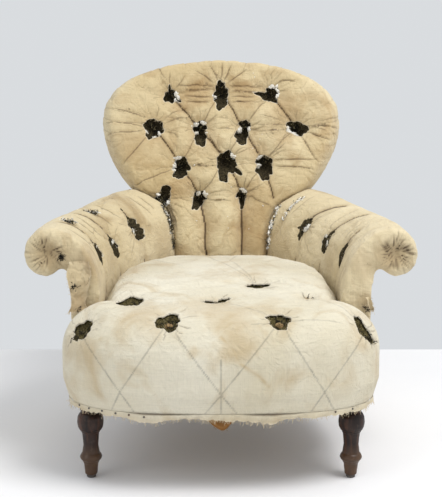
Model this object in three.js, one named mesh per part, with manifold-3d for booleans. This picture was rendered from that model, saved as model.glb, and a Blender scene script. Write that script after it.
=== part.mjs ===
// Low button-back armchair: a beech frame on turned front legs, with coil springs in the seat and stuffed,
// calico-covered pads on the seat, the balloon-shaped back and the two outswept scroll arms.
// Millimetres, +Z up, the sitter faces -Y. "left" and "right" are the sides seen from the front, -X and +X.
// Every piece is its own closed solid. The seat pad with its cover and hessian rides on the springs.
import * as THREE from "three";
import { mergeVertices } from "three/addons/utils/BufferGeometryUtils.js";
import Module from "manifold-3d";

const wasm = await Module();
wasm.setup();

// ---- driving dimensions ---------------------------------------------------------------------------------
const GAP = 0.5; // between pieces that touch
const FLOOR = -10; // the floor's height, in the heights used below
const RAIL = { bottom: 150, top: 212, thick: 26 }; // the seat frame
const LEG_X = 267; // front leg axis, on the line y = 0
const BLOCK = 40; // square block that each front leg is dowelled into
const GLIDE = 6; // height of the metal glide under each foot
const DOWEL = { radius: 12, top: 204 };
const POST = { x: 150, wide: 36, thick: 30 }; // the rear legs, which run up as the back's uprights
// Front face of the uprights at the frame's top, and its rake.
const BACK = { y: 548, z: RAIL.top, slope: 0.27 };
const RAKE = Math.atan(BACK.slope);
const POST_TOP = 527; // along the uprights, above the frame
const COVER = 1.6; // calico and its lining
const HESSIAN = 1.6;
const SEAT_TRAVEL = 30; // what the springs give under a sitter
const SEAT_BASE = 262; // underside of the stuffed seat
const BORDER_TOP = SEAT_BASE - SEAT_TRAVEL - 6; // the fixed border stops clear of the seat's travel
// Foot of the seat's cover: in front it slides down over the border, and inside it stays above the rails.
const SKIRT = { front: 190, inside: RAIL.top + SEAT_TRAVEL + 6 };
const SEAT_CENTRE = new THREE.Vector2(0, 20); // every ray from here meets the seat's outline once
const FREE_EDGE = { inset: 92, drop: 98, until: 50, blend: 60 }; // the seat's roll in front of y = until
const TUCKED_EDGE = { inset: 26, drop: 60 }; // where the seat meets the arms and the back
const ARM_FRONT = { x: 250, y: 93 }; // where the arms' inner faces end in front
const FACING = { front: 95.5, thick: 26 }; // the board that carries the arm's front
const ARM_PAD = 15; // stuffing on the arms
const ARM_BASE = 225; // lower edge of the arm and back stuffing
const BACK_PAD = 74; // stuffing on the back, less near the seat
const TUCK_Y = 514; // the back's face beside the seat stays behind this line
// The balloon head: heights along the back, half widths, and how far its sides curl forward.
const HEAD = { widest: 478, top: 624, half: 299, waist: 306, waistHalf: 221, power: 2.3, curl: 22 };
const LIP = 24; // how far the back's pad wraps round the frame's edge
const BOARD_INSET = 24; // from the back's outline to its boards

// ---- materials ------------------------------------------------------------------------------------------
function finish(color, roughness, metalness = 0) {
  return new THREE.MeshStandardMaterial({ color, roughness, metalness });
}

const MATERIAL = {
  walnut: finish("#3b2418", 0.38),
  beech: finish("#a98a5e", 0.7),
  steel: finish("#4a4844", 0.45, 0.9),
  webbing: finish("#a58a5c", 0.9),
  hessian: finish("#9b7746", 0.95),
  twine: finish("#8d7a55", 0.9),
  stuffing: finish("#3a382c", 1),
  backCalico: finish("#cbb684", 0.9),
  seatCalico: finish("#e0d8bd", 0.9),
};

// ---- geometry helpers -----------------------------------------------------------------------------------
const chair = new THREE.Group();

const WELD = 1e-3; // points closer than this are one point

function solidOf(geometry) {
  const bare = new THREE.BufferGeometry();
  bare.setAttribute("position", geometry.getAttribute("position").clone());
  bare.setIndex(geometry.index ? geometry.index.clone() : null);
  const merged = mergeVertices(bare, WELD);
  const vertProperties = merged.attributes.position.array;
  const triVerts = new Uint32Array(merged.index.array);
  return new wasm.Manifold(new wasm.Mesh({ numProp: 3, vertProperties, triVerts }));
}

function geometryOf(solid) {
  const mesh = solid.getMesh();
  const points = new Float32Array(mesh.numVert * 3);
  for (let i = 0; i < mesh.numVert; i++) {
    points.set(mesh.vertProperties.subarray(i * mesh.numProp, i * mesh.numProp + 3), i * 3);
  }
  return new THREE.BufferGeometry()
    .setAttribute("position", new THREE.BufferAttribute(points, 3))
    .setIndex(new THREE.BufferAttribute(mesh.triVerts, 1));
}

// The largest piece of a cut, without the crumbs that a cut can leave.
function mainPiece(solid) {
  return solid.decompose().sort((a, b) => b.volume() - a.volume())[0];
}

function facingOut(points, triangles) {
  let volume = 0;
  for (let i = 0; i < triangles.length; i += 3) {
    const [a, b, c] = [0, 1, 2].map((k) => points[triangles[i + k]]);
    volume += a.dot(b.clone().cross(c));
  }
  if (volume < 0) {
    for (let i = 0; i < triangles.length; i += 3) {
      [triangles[i + 1], triangles[i + 2]] = [triangles[i + 2], triangles[i + 1]];
    }
  }
  return new THREE.BufferGeometry().setFromPoints(points).setIndex(triangles);
}

// A closed solid through a row of sections. Each section is a closed outline of Vector2, all with as many
// points, and place(k, point) puts a point of section k in space.
function loft(sections, place) {
  const n = sections[0].length;
  const points = sections.flatMap((section, k) => section.map((p) => place(k, p)));
  const triangles = [];
  for (let k = 0; k + 1 < sections.length; k++) {
    for (let i = 0; i < n; i++) {
      const [a, b] = [k * n + i, k * n + ((i + 1) % n)];
      triangles.push(a, b, b + n, a, b + n, a + n);
    }
  }
  const cap = (section, start, flip) => {
    for (const [a, b, c] of THREE.ShapeUtils.triangulateShape(section, [])) {
      triangles.push(start + a, start + (flip ? c : b), start + (flip ? b : c));
    }
  };
  const clockwise = THREE.ShapeUtils.isClockWise(sections[0]);
  cap(sections[0], 0, !clockwise);
  cap(sections.at(-1), (sections.length - 1) * n, clockwise);
  return facingOut(points, triangles);
}

// A domed solid: rings from the rim inwards, closed by a point on top, and the same rings closed below.
function dome(rings, tip, under, underTip) {
  const n = rings[0].length;
  const points = [...rings.flat(), tip, ...under.flat(), underTip];
  const triangles = [];
  const skin = (first, count, apex, flip) => {
    const add = (a, b, c) => triangles.push(a, flip ? c : b, flip ? b : c);
    for (let k = 0; k + 1 < count; k++) {
      for (let i = 0; i < n; i++) {
        const [a, b] = [first + k * n + i, first + k * n + ((i + 1) % n)];
        add(a, b, b + n);
        add(a, b + n, a + n);
      }
    }
    const last = first + (count - 1) * n;
    for (let i = 0; i < n; i++) add(last + i, last + ((i + 1) % n), apex);
  };
  const underStart = rings.length * n + 1;
  skin(0, rings.length, rings.length * n, false);
  skin(underStart, under.length, points.length - 1, true);
  for (let i = 0; i < n; i++) {
    const j = (i + 1) % n;
    triangles.push(i, underStart + j, j, i, underStart + i, underStart + j);
  }
  return facingOut(points, triangles);
}

function add(name, geometry, material, parent = chair) {
  const mesh = new THREE.Mesh(geometry, material);
  mesh.name = name;
  parent.add(mesh);
  return mesh;
}

// A piece modelled on the right, and its mirror image on the left.
function addPair(name, geometry, material, parent = chair) {
  add(name + "_right", geometry, material, parent);
  add(name + "_left", geometry.clone(), material, parent).scale.x = -1;
}

const outline = (points) => new THREE.Shape(points.map(([x, y]) => new THREE.Vector2(x, y)));

const sawn = (shape, depth) =>
  new THREE.ExtrudeGeometry(shape, { depth, bevelEnabled: false, curveSegments: 12 });

// A flat outline drawn in plan, standing between two heights.
const slab = (shape, low, high) => sawn(shape, high - low).translate(0, 0, low);

// An outline drawn in X and Z, from y = front to y = front + thick.
const board = (shape, front, thick) =>
  sawn(shape, thick).rotateX(Math.PI / 2).translate(0, front + thick, 0);

function box(x0, x1, y0, y1, z0, z1) {
  const block = new THREE.BoxGeometry(x1 - x0, y1 - y0, z1 - z0);
  return block.translate((x0 + x1) / 2, (y0 + y1) / 2, (z0 + z1) / 2);
}

function curve(points) {
  return new THREE.CatmullRomCurve3(points.map((p) => new THREE.Vector3(...p)), false, "centripetal");
}

const lerp = THREE.MathUtils.lerp;
const easeBetween = (x, low, high) => THREE.MathUtils.smoothstep(x, low, high);

// ---- seat frame and legs --------------------------------------------------------------------------------
const FRONT_BOW = { middle: 98, atLegs: 24 }; // how far the front rail stands in front of the legs' line
const cornerInner = LEG_X - BLOCK / 2;

function bowAt(x) {
  return -lerp(FRONT_BOW.atLegs, FRONT_BOW.middle, 1 - (x / cornerInner) ** 4);
}

function frontRail() {
  const steps = 12;
  const end = cornerInner - GAP;
  const xs = Array.from({ length: steps + 1 }, (_, i) => lerp(-end, end, i / steps));
  const outer = xs.map((x) => [x, bowAt(x)]);
  const inner = xs.map((x) => [x, bowAt(x) + RAIL.thick]).reverse();
  return slab(outline([...outer, ...inner]), RAIL.bottom, RAIL.top);
}

// The side rails follow the arms' sweep in plan, from the front block to the rear upright.
const sideLine = curve([
  [270, BLOCK / 2 + 5, 0], [286, 80, 0], [290, 130, 0], [286, 200, 0], [273, 300, 0], [245, 400, 0],
  [207, 478, 0], [178, 526, 0], [163, 550, 0],
]);

function bandAlong(line, halfThick, low, high, steps) {
  const sides = [[], []];
  for (let i = 0; i <= steps; i++) {
    const p = line.getPointAt(i / steps);
    const d = line.getTangentAt(i / steps);
    sides[0].push([p.x + d.y * halfThick, p.y - d.x * halfThick]);
    sides[1].unshift([p.x - d.y * halfThick, p.y + d.x * halfThick]);
  }
  return slab(outline([...sides[0], ...sides[1]]), low, high);
}

function legBlock() {
  const half = BLOCK / 2;
  const shape = outline([[-half, -half], [half, -half], [half, half], [-half, half]]);
  shape.holes.push(new THREE.Path().absarc(0, 0, DOWEL.radius + GAP, 0, 2 * Math.PI, true));
  return slab(shape, RAIL.bottom + GAP, RAIL.top).translate(LEG_X, 0, 0);
}

// Radius and height above the floor up the turned leg: foot, lower ring, shaft, ball, collar, dowel.
const LEG_TOP = RAIL.bottom - FLOOR;
const LEG_PROFILE = [
  [0, GLIDE], [10, GLIDE], [12.4, 8], [14.8, 30], [17.5, 35], [21.5, 40], [23, 44], [21, 49], [17.5, 55],
  [15.3, 70], [16.4, 84], [17.7, 95], [19.5, 97], [19.5, 99.5], [22.5, 102], [25.8, 109], [27, 119.5],
  [25.8, 130], [21.5, 138], [18, 142], [21, 144], [21.6, 148], [21, 153], [21.6, LEG_TOP],
  [DOWEL.radius, LEG_TOP], [DOWEL.radius, DOWEL.top], [0, DOWEL.top],
];
const ROUND_SIDES = 16; // flat sides of each turned piece

function turned(profile) {
  const points = profile.map(([r, z]) => new THREE.Vector2(r, z));
  return new THREE.LatheGeometry(points, ROUND_SIDES).rotateX(Math.PI / 2);
}

const glide = () => turned([[0, 0], [8, 0], [9.5, 1.5], [9.5, GLIDE - GAP], [0, GLIDE - GAP]]);

// A point in Y and Z from its depth behind the back's plane and its height along it.
function leaned(depth, along) {
  const [c, s] = [Math.cos(RAKE), Math.sin(RAKE)];
  return [BACK.y + depth * c + along * s, BACK.z - depth * s + along * c];
}

// Rear leg and upright sawn from one plank: the outline is in Y and Z.
const REAR_FOOT = { front: 596, back: 622 };
const RAIL_FOOT = -56; // lower end of the back's straight part, along the uprights

function rearPost() {
  const { front, back: heel } = REAR_FOOT;
  const top = POST_TOP - GAP;
  const shape = outline([
    [front, FLOOR + GLIDE], [heel, FLOOR + GLIDE], [592, 60], [574, 105],
    leaned(POST.thick, RAIL_FOOT), leaned(POST.thick, top), leaned(0, top), leaned(0, RAIL_FOOT),
    [545, 108], [566, 60],
  ]);
  const flat = sawn(shape, POST.wide);
  return flat.rotateX(Math.PI / 2).rotateZ(Math.PI / 2).translate(POST.x - POST.wide / 2, 0, 0);
}

// The room that an upright takes in the back's own group, with a little to spare.
function uprightRoom() {
  const wide = POST.wide / 2 + GAP;
  const belowRails = -80;
  return box(POST.x - wide, POST.x + wide, -GAP, POST.thick + GAP, belowRails, POST_TOP);
}

// The same room in the chair, to cut the neighbours of an upright to.
const postSpace = () => solidOf(uprightRoom().rotateX(-RAKE).translate(0, BACK.y, BACK.z));

function sideRail() {
  const band = bandAlong(sideLine, RAIL.thick / 2, RAIL.bottom, RAIL.top, 14);
  return geometryOf(mainPiece(solidOf(band).subtract(postSpace())));
}

function buildFrame() {
  const heel = (REAR_FOOT.front + REAR_FOOT.back) / 2;
  add("front_seat_rail", frontRail(), MATERIAL.beech);
  addPair("side_seat_rail", sideRail(), MATERIAL.beech);
  addPair("front_leg_block", legBlock(), MATERIAL.beech);
  addPair("front_leg", turned(LEG_PROFILE).translate(LEG_X, 0, FLOOR), MATERIAL.walnut);
  addPair("front_foot_glide", glide().translate(LEG_X, 0, FLOOR), MATERIAL.steel);
  addPair("rear_post", rearPost(), MATERIAL.walnut);
  addPair("rear_foot_glide", glide().translate(POST.x, heel, FLOOR), MATERIAL.steel);
}

// ---- springs, webbing and the seat ----------------------------------------------------------------------
const WEB = { wide: 50, thick: 1.6, z: RAIL.bottom - 2.4 };
const SPRING = { turns: 5, bottom: 151, top: SEAT_BASE - 6, wide: 42, waist: 24, wire: 2, steps: 8 };
const SPRING_X = [-150, 0, 150];
const SPRING_Y = [40, 190, 340];
const SPRING_IN = [0, 0, 28]; // the back row stands closer together
// The webbing's strips: front to back by their X and rear end, and across by their Y and half length.
const WEB_LENGTHWISE = [[-160, 500], [-80, 553], [0, 553], [80, 553], [160, 500]];
const WEB_CROSSWISE = [[65, 285], [175, 298], [285, 282], [395, 250]];
const WEB_TACKED = 10; // how far behind the front rail's face the webbing starts
const CORD = { wide: 3, low: SPRING.top + 0.6, high: SPRING.top + 3, draw: 0.9 };
const LASHED = { front: -70, back: 450, side: 205 }; // ends of the cords that tie the springs

class SpringLine extends THREE.Curve {
  getPoint(t) {
    const turn = 2 * Math.PI * SPRING.turns * t;
    const radius = lerp(SPRING.waist, SPRING.wide, Math.abs(2 * t - 1) ** 1.2);
    const z = lerp(SPRING.bottom + SPRING.wire, SPRING.top - SPRING.wire, t);
    return new THREE.Vector3(radius * Math.cos(turn), radius * Math.sin(turn), z);
  }
}

function spring() {
  const r = SPRING.wire;
  const section = outline([[-r, 0], [0, -r], [r, 0], [0, r]]);
  const steps = SPRING.turns * SPRING.steps;
  return new THREE.ExtrudeGeometry(section, { steps, extrudePath: new SpringLine() });
}

// Crossing strips, joined where they cross.
function lattice(strips) {
  return geometryOf(strips.map(solidOf).reduce((whole, strip) => whole.add(strip)));
}

function seatWebbing() {
  const strips = [];
  const { z, thick, wide } = WEB;
  for (const [x, rear] of WEB_LENGTHWISE) {
    strips.push(box(x - wide / 2, x + wide / 2, bowAt(x) + WEB_TACKED, rear, z, z + thick));
  }
  for (const [y, half] of WEB_CROSSWISE) {
    strips.push(box(-half, half, y - wide / 2, y + wide / 2, z, z + thick));
  }
  return lattice(strips);
}

function lashing() {
  const strips = [];
  const { low, high, draw } = CORD;
  const half = CORD.wide / 2;
  for (const x of SPRING_X) {
    strips.push(box(x * draw - half, x * draw + half, LASHED.front, LASHED.back, low, high));
  }
  for (const y of SPRING_Y) strips.push(box(-LASHED.side, LASHED.side, y - half, y + half, low, high));
  return lattice(strips);
}

// The seat's outline in plan, right half, from the front to the back: it spreads in front of the arms.
const SEAT_HALF = [
  [0, -118], [75, -116], [150, -108], [215, -92], [268, -64], [306, -25], [325, 20], [324, 48], [310, 66],
  [284, 73], [246, 76], [246, 95], [247, 140], [247, 200], [240, 265], [227, 325], [203, 380], [172, 430],
  [140, 474], [112, 499], [60, 508], [0, 511],
];
const seatOutline = [
  ...SEAT_HALF.map(([x, y]) => new THREE.Vector2(x, y)),
  ...SEAT_HALF.slice(1, -1).reverse().map(([x, y]) => new THREE.Vector2(-x, y)),
];

// The seat's crown: how high it is and how far back, and how much the top falls to the front, back and sides.
const CROWN = { y: 330, z: 374, front: 29, frontRun: 350, back: 9, backRun: 180, side: 5, sideRun: 300 };

function seatTop(x, y) {
  const ahead = Math.max((CROWN.y - y) / CROWN.frontRun, 0);
  const behind = Math.max((y - CROWN.y) / CROWN.backRun, 0);
  const fall = CROWN.front * ahead ** 1.6 + CROWN.back * behind ** 2 + CROWN.side * (x / CROWN.sideRun) ** 2;
  return CROWN.z - fall;
}

function seatRing(angle, skin) {
  return seatOutline.map((p) => {
    const free = 1 - easeBetween(p.y, FREE_EDGE.until, FREE_EDGE.until + FREE_EDGE.blend);
    const inset = lerp(TUCKED_EDGE.inset, FREE_EDGE.inset, free) - skin;
    const inward = SEAT_CENTRE.clone().sub(p).normalize();
    const q = p.clone().addScaledVector(inward, skin + inset * (1 - Math.cos(angle)));
    const top = seatTop(q.x, q.y) - skin;
    const drop = Math.min(lerp(TUCKED_EDGE.drop, FREE_EDGE.drop, free), top - SEAT_BASE);
    return new THREE.Vector3(q.x, q.y, top - drop * (1 - Math.sin(angle)));
  });
}

function seatRings(skin) {
  const rings = [0, 12, 28, 45, 62, 78, 90].map((a) => seatRing(THREE.MathUtils.degToRad(a), skin));
  const rim = rings.at(-1);
  for (const f of [0.66, 0.33]) {
    rings.push(rim.map((p) => {
      const [x, y] = [lerp(SEAT_CENTRE.x, p.x, f), lerp(SEAT_CENTRE.y, p.y, f)];
      return new THREE.Vector3(x, y, seatTop(x, y) - skin);
    }));
  }
  rings[0].forEach((p) => (p.z = SEAT_BASE));
  return rings;
}

const onAxis = (z) => new THREE.Vector3(SEAT_CENTRE.x, SEAT_CENTRE.y, z);
const seatTip = (skin) => onAxis(seatTop(0, SEAT_CENTRE.y) - skin);

function seatPad() {
  const skin = COVER + GAP;
  const rings = seatRings(skin);
  const floor = rings[0].map((p) => onAxis(SEAT_BASE).lerp(p, 0.98).setZ(SEAT_BASE));
  return dome(rings, seatTip(skin), [floor], onAxis(SEAT_BASE));
}

function seatCover() {
  const foot = (p) => new THREE.Vector3(p.x, p.y, p.y < FREE_EDGE.until ? SKIRT.front : SKIRT.inside);
  const skirted = (rings) => [rings[0].map(foot), ...rings];
  return dome(skirted(seatRings(0)), seatTip(0), skirted(seatRings(COVER)), seatTip(COVER));
}

function seatHessian() {
  const half = seatOutline.map((p) => p.clone().sub(SEAT_CENTRE).multiplyScalar(0.93).add(SEAT_CENTRE));
  return slab(new THREE.Shape(half), SEAT_BASE - GAP - HESSIAN, SEAT_BASE - GAP);
}

// The lower border, fixed to the frame: calico over a thin roll, from one arm round the front to the other.
function seatBorder() {
  const run = SEAT_HALF.filter(([x, y]) => y < 60);
  const line = [...run.slice(1).reverse().map(([x, y]) => [-x, y]), ...run];
  const thick = 5;
  const section = [[14, RAIL.bottom - 3], [7, 172], [COVER + 2, SKIRT.front], [COVER + 2, BORDER_TOP]];
  const sides = [...section, ...section.map(([inset, z]) => [inset + thick, z]).reverse()];
  const sections = line.map(() => sides.map(([inset, z]) => new THREE.Vector2(inset, z)));
  return loft(sections, (k, p) => {
    const at = new THREE.Vector2(...line[k]);
    const inward = SEAT_CENTRE.clone().sub(at).normalize();
    const q = at.addScaledVector(inward, p.x);
    return new THREE.Vector3(q.x, q.y, p.y);
  });
}

// What is left of the cloth that closed the chair's underside, hanging from the front rail.
function bottomRemnant() {
  const shape = outline([[-26, 146.5], [-14, 133], [0, 126], [14, 133], [26, 146.5]]);
  return board(shape, bowAt(0) + 3, 1.4);
}

function buildSeat() {
  add("seat_webbing", seatWebbing(), MATERIAL.webbing);
  SPRING_Y.forEach((y, row) => {
    SPRING_X.forEach((x, column) => {
      const name = `seat_spring_${row * SPRING_X.length + column + 1}`;
      add(name, spring(), MATERIAL.steel).position.set(x - Math.sign(x) * SPRING_IN[row], y, 0);
    });
  });
  add("spring_lashing", lashing(), MATERIAL.twine);
  add("seat_hessian", seatHessian(), MATERIAL.hessian);
  add("seat_pad", seatPad(), MATERIAL.stuffing);
  add("seat_cover", seatCover(), MATERIAL.seatCalico);
  add("seat_border", seatBorder(), MATERIAL.seatCalico);
  add("bottom_cloth_remnant", bottomRemnant(), MATERIAL.hessian);
}

// ---- back -----------------------------------------------------------------------------------------------
// The back is modelled upright in its own group, which leans: Y is the depth behind the uprights' front
// face, and Z the height along them from the frame's top.
const back = new THREE.Group();
back.position.set(0, BACK.y, BACK.z);
back.rotation.x = -RAKE;
chair.add(back);

const NECK = 71; // height over which the back spreads into the head

// Half the back's width at a height: narrow between the arms, then the balloon-shaped head.
function backHalf(h) {
  if (h >= HEAD.top) return 0;
  if (h >= HEAD.widest) {
    const t = (h - HEAD.widest) / (HEAD.top - HEAD.widest);
    return HEAD.half * (1 - t ** HEAD.power) ** (1 / HEAD.power);
  }
  if (h >= HEAD.waist) {
    const t = (h - HEAD.waist) / (HEAD.widest - HEAD.waist);
    return lerp(HEAD.waistHalf, HEAD.half, Math.sin((t * Math.PI) / 2) ** 0.9);
  }
  const lower = lerp(118, 138, easeBetween(h, 60, 270));
  return lerp(lower, HEAD.waistHalf, easeBetween(h, HEAD.waist - NECK, HEAD.waist) ** 1.4);
}

// Depth of the stuffing in front of the uprights. Beside the seat it thins, so its face stands upright there.
function backDepth(h) {
  const world = BACK.y - TUCK_Y + (h * BACK.slope) / Math.sqrt(1 + BACK.slope ** 2);
  return Math.min(world / Math.cos(RAKE), BACK_PAD);
}

const EDGE_ROUND = 34;
const WRAP_FROM = HEAD.waist - 24; // above here the stuffing wraps round the boards

// One level of the back: the front face with its rounded edges, and a flat rear. The rear lies on the hessian
// between the uprights, and further back where the stuffing wraps round the head's boards.
function backSection(h, half, skin, rearAtHead) {
  const depth = backDepth(h) - skin;
  const round = Math.min(EDGE_ROUND, half * 0.9);
  const headness = easeBetween(h, HEAD.waist - 60, HEAD.waist + 30);
  const rear = h > WRAP_FROM ? rearAtHead : rearAtHead - LIP - HESSIAN - 2 * GAP;
  const curl = (x) => -depth - HEAD.curl * headness * (x / HEAD.half) ** 2;
  const right = [[half, rear]];
  for (const a of [0, 22, 45, 68, 90]) {
    const r = THREE.MathUtils.degToRad(a);
    const x = half - round * (1 - Math.cos(r));
    right.push([x, lerp(h > WRAP_FROM ? 4 : -7, curl(x), Math.sin(r))]);
  }
  for (const f of [0.6, 0.3]) right.push([(half - round) * f, curl((half - round) * f)]);
  const left = right.map(([x, d]) => [-x, d]).reverse();
  return [...right, [0, curl(0)], ...left].map(([x, d]) => new THREE.Vector2(x, d));
}

const BACK_BASE = (ARM_BASE - BACK.z) / Math.cos(RAKE);
const topAngles = [15, 30, 45, 60, 72, 82, 88];
const backLevels = [
  BACK_BASE, 60, 110, 160, 205,
  ...[-71, -50, -32, -16, 0, 24, 54, 90, 130].map((d) => HEAD.waist + d),
  HEAD.widest,
  ...topAngles.map((a) => HEAD.widest + (HEAD.top - HEAD.widest) * Math.sin(THREE.MathUtils.degToRad(a))),
];

// The right edge of the back's outline from its foot to its top, drawn in by a distance.
function backEdge(inset) {
  return drawnIn(backLevels.map((h) => new THREE.Vector2(backHalf(h), h)), -inset);
}

// The whole back with its covering drawn in by skin, its rear at a depth and its foot lowered by below.
function backBody(skin, rear, below = 0) {
  const edge = backEdge(skin);
  edge[0].y = BACK_BASE - below;
  const sections = backLevels.map((h, k) => backSection(h, edge[k].x, skin, rear));
  return solidOf(loft(sections, (k, p) => new THREE.Vector3(p.x, p.y, edge[k].y)));
}

// A flat outline inside the back's, down to its foot or a little below.
function boardOutline(inset, below = 0) {
  const side = backEdge(inset);
  side[0].y = BACK_BASE - below;
  const mirrored = side.map((p) => new THREE.Vector2(-p.x, p.y)).reverse();
  return new THREE.Shape([...side, ...mirrored]);
}

function uprights() {
  const right = uprightRoom();
  return solidOf(right).add(solidOf(right.clone().translate(-2 * POST.x, 0, 0)));
}

function backPad() {
  const hollow = board(boardOutline(BOARD_INSET - GAP, 10), -HESSIAN - 2 * GAP, 80);
  return mainPiece(backBody(COVER + GAP, LIP).subtract(solidOf(hollow)).subtract(uprights()));
}

function backCover() {
  return mainPiece(backBody(0, LIP).subtract(backBody(COVER, LIP + 20, 20)).subtract(uprights()));
}

const BEHIND_WEB = 3; // the rails stand this far behind the uprights' front face
const BACK_RAILS = { // each one's thickness, foot and top
  back_seat_rail: [26, RAIL_FOOT, 0],
  back_waist_rail: [22, 250, 302],
  back_tack_rail: [22, 30, 66],
};
const HEAD_BOARD = { front: 4, thick: 22 };
const BACK_WEB = { front: -0.2, rear: 1.4, foot: 36, x: [-78, 0, 78], z: [120, 200, 370, 460] };

function buildBack() {
  const outer = POST.x + POST.wide / 2 + GAP;
  const inner = POST.x - POST.wide / 2 - GAP;
  const wide = HEAD.half + 10;
  // Wing boards beside the uprights and an arched crest rail above them fill the head.
  const boards = solidOf(board(boardOutline(BOARD_INSET), HEAD_BOARD.front, HEAD_BOARD.thick));
  const wing = boards.intersect(solidOf(box(outer, wide, 0, 40, HEAD.waist, POST_TOP)));
  addPair("back_wing", geometryOf(mainPiece(wing)), MATERIAL.beech, back);
  const crest = boards.intersect(solidOf(box(-wide, wide, 0, 40, POST_TOP + GAP, HEAD.top)));
  add("crest_rail", geometryOf(mainPiece(crest)), MATERIAL.beech, back);
  for (const [name, [thick, foot, top]] of Object.entries(BACK_RAILS)) {
    const rail = box(-inner, inner, BEHIND_WEB, BEHIND_WEB + thick, foot, top);
    add(name, rail, MATERIAL.beech, back);
  }
  const half = WEB.wide / 2;
  const { front, rear, foot, x, z } = BACK_WEB;
  const upright = x.map((at) => box(at - half, at + half, front, rear, foot, POST_TOP));
  const level = z.map((at) => box(-inner, inner, front, rear, at - half, at + half));
  add("back_webbing", lattice([...upright, ...level]), MATERIAL.webbing, back);
  const sheet = board(boardOutline(BOARD_INSET), -HESSIAN - GAP, HESSIAN - GAP / 2);
  add("back_hessian", sheet, MATERIAL.hessian, back);
  add("back_pad", geometryOf(backPad()), MATERIAL.stuffing, back);
  add("back_cover", geometryOf(backCover()), MATERIAL.backCalico, back);
  add("outside_back_panel", outsideBack(), MATERIAL.backCalico, back);
}

// Plain cloth over the back of the frame, from the crest to the foot of the seat rail.
function outsideBack() {
  const head = backEdge(12).filter((p) => p.y > HEAD.waist);
  const lower = [[168, RAIL_FOOT], [169, 40], [172, 150], [178, 230], [190, 276]];
  const side = [...lower, ...head.map((p) => [p.x, p.y])];
  return board(outline([...side, ...side.map(([x, h]) => [-x, h]).reverse()]), POST.thick + 1.5, 2.4);
}

// ---- arms -----------------------------------------------------------------------------------------------
// The arm's inner face runs in plan from the back's corner to the front. A section across it has the
// distance outwards from that line and the height.
const armLine = curve([
  [122, 504, 0], [176, 433, 0], [231, 326, 0], [ARM_FRONT.x, 205, 0], [ARM_FRONT.x, ARM_FRONT.y, 0],
]);
const ARM_SECTIONS = [
  [ // at the back
    [0, ARM_BASE], [0, 300], [2, 365], [8, 415], [20, 455], [42, 488], [75, 511], [108, 521],
    [138, 517], [160, 500], [168, 478], [161, 457], [146, 446], [128, 443], [114, 448], [104, 458],
  ],
  [ // halfway
    [0, ARM_BASE], [0, 300], [1, 350], [6, 398], [17, 434], [38, 464], [66, 486], [95, 496],
    [122, 491], [142, 473], [149, 449], [143, 427], [128, 413], [108, 409], [94, 416], [85, 427],
  ],
  [ // at the front scroll
    [0, ARM_BASE], [0, 300], [1, 350], [6, 395], [18, 430], [40, 462], [70, 486], [102, 495],
    [133, 488], [154, 467], [161, 440], [154, 413], [136, 396], [112, 391], [95, 398], [84, 411],
  ],
];

function armSection(s) {
  const k = s < 0.5 ? 0 : 1;
  const t = easeBetween(s * 2 - k, 0, 1);
  return ARM_SECTIONS[k].map(([o, z], i) => {
    const [o2, z2] = ARM_SECTIONS[k + 1][i];
    return new THREE.Vector2(lerp(o, o2, t), lerp(z, z2, t));
  });
}

// The open line of a section, moved inwards. It runs up, over and round, so inwards is on its right.
function drawnIn(line, distance) {
  return line.map((p, i) => {
    const before = line[Math.max(i - 1, 0)];
    const after = line[Math.min(i + 1, line.length - 1)];
    const along = after.clone().sub(before).normalize();
    return new THREE.Vector2(p.x + along.y * distance, p.y - along.x * distance);
  });
}

// A point of the arm: a share s of the way from the back to the front, a distance out and a height.
function armPoint(s, out, z, forward = 0) {
  const p = armLine.getPointAt(THREE.MathUtils.clamp(s, 0, 1));
  const d = armLine.getTangentAt(THREE.MathUtils.clamp(s, 0, 1));
  return new THREE.Vector3(p.x - d.y * out + d.x * forward, p.y + d.x * out + d.y * forward, z);
}

const ARM_STATIONS = Array.from({ length: 10 }, (_, i) => i / 9);
const BACKWARD = 30; // the arm runs on into the back, and is then cut to it

// A layer of the arm between two depths under its surface, over the first points of its section.
function armLayer(from, to, count = ARM_SECTIONS[0].length) {
  const stations = [0, ...ARM_STATIONS];
  const sections = stations.map((s) => {
    const line = armSection(s);
    return [...drawnIn(line, from).slice(0, count), ...drawnIn(line, to).slice(0, count).reverse()];
  });
  return solidOf(loft(sections, (k, p) => armPoint(stations[k], p.x, p.y, k ? 0 : -BACKWARD)));
}

// The back, a little enlarged, to cut the arms' pieces to.
function backSpace() {
  const filled = geometryOf(backBody(-GAP, POST.thick + 8, 10));
  return solidOf(filled.rotateX(-RAKE).translate(0, BACK.y, BACK.z));
}

// The outline of the arm's front, drawn in by a distance and closed down its outer side to a foot.
const FRONT_OUTER = [[322, 406], [317, 370], [314, 300], [311, 265]];

function frontOutline(inset, foot) {
  const line = drawnIn(armSection(1), inset).map((p) => new THREE.Vector2(p.x + ARM_FRONT.x, p.y));
  line[0].y = foot;
  const outer = FRONT_OUTER.map(([x, z]) => new THREE.Vector2(x - inset * 0.5, z));
  return new THREE.Shape([...line, ...outer, new THREE.Vector2(306 - inset * 0.5, foot)]);
}

// The board at the arm's front: a stump on the side rail that grows into the scroll.
function facingBoard() {
  return board(frontOutline(ARM_PAD + 4, RAIL.top + GAP), FACING.front, FACING.thick);
}

// A bar inside the scroll, from the facing board back to the upright.
function armTopRail() {
  const start = armPoint(1, 111, 441);
  start.y = FACING.front + FACING.thick + 2;
  const inScroll = [[0.8, 111, 443], [0.5, 112, 453], [0.25, 117, 466], [0.04, 128, 481]];
  const points = [start, ...inScroll.map(([s, out, z]) => armPoint(s, out, z))];
  const path = curve([...points.map((p) => p.toArray()), [200, 612, 487], [169, 633, 490]]);
  const half = 11;
  const section = outline([[-half, -half], [half, -half], [half, half], [-half, half]]);
  return new THREE.ExtrudeGeometry(section, { steps: 14, extrudePath: path });
}

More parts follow.
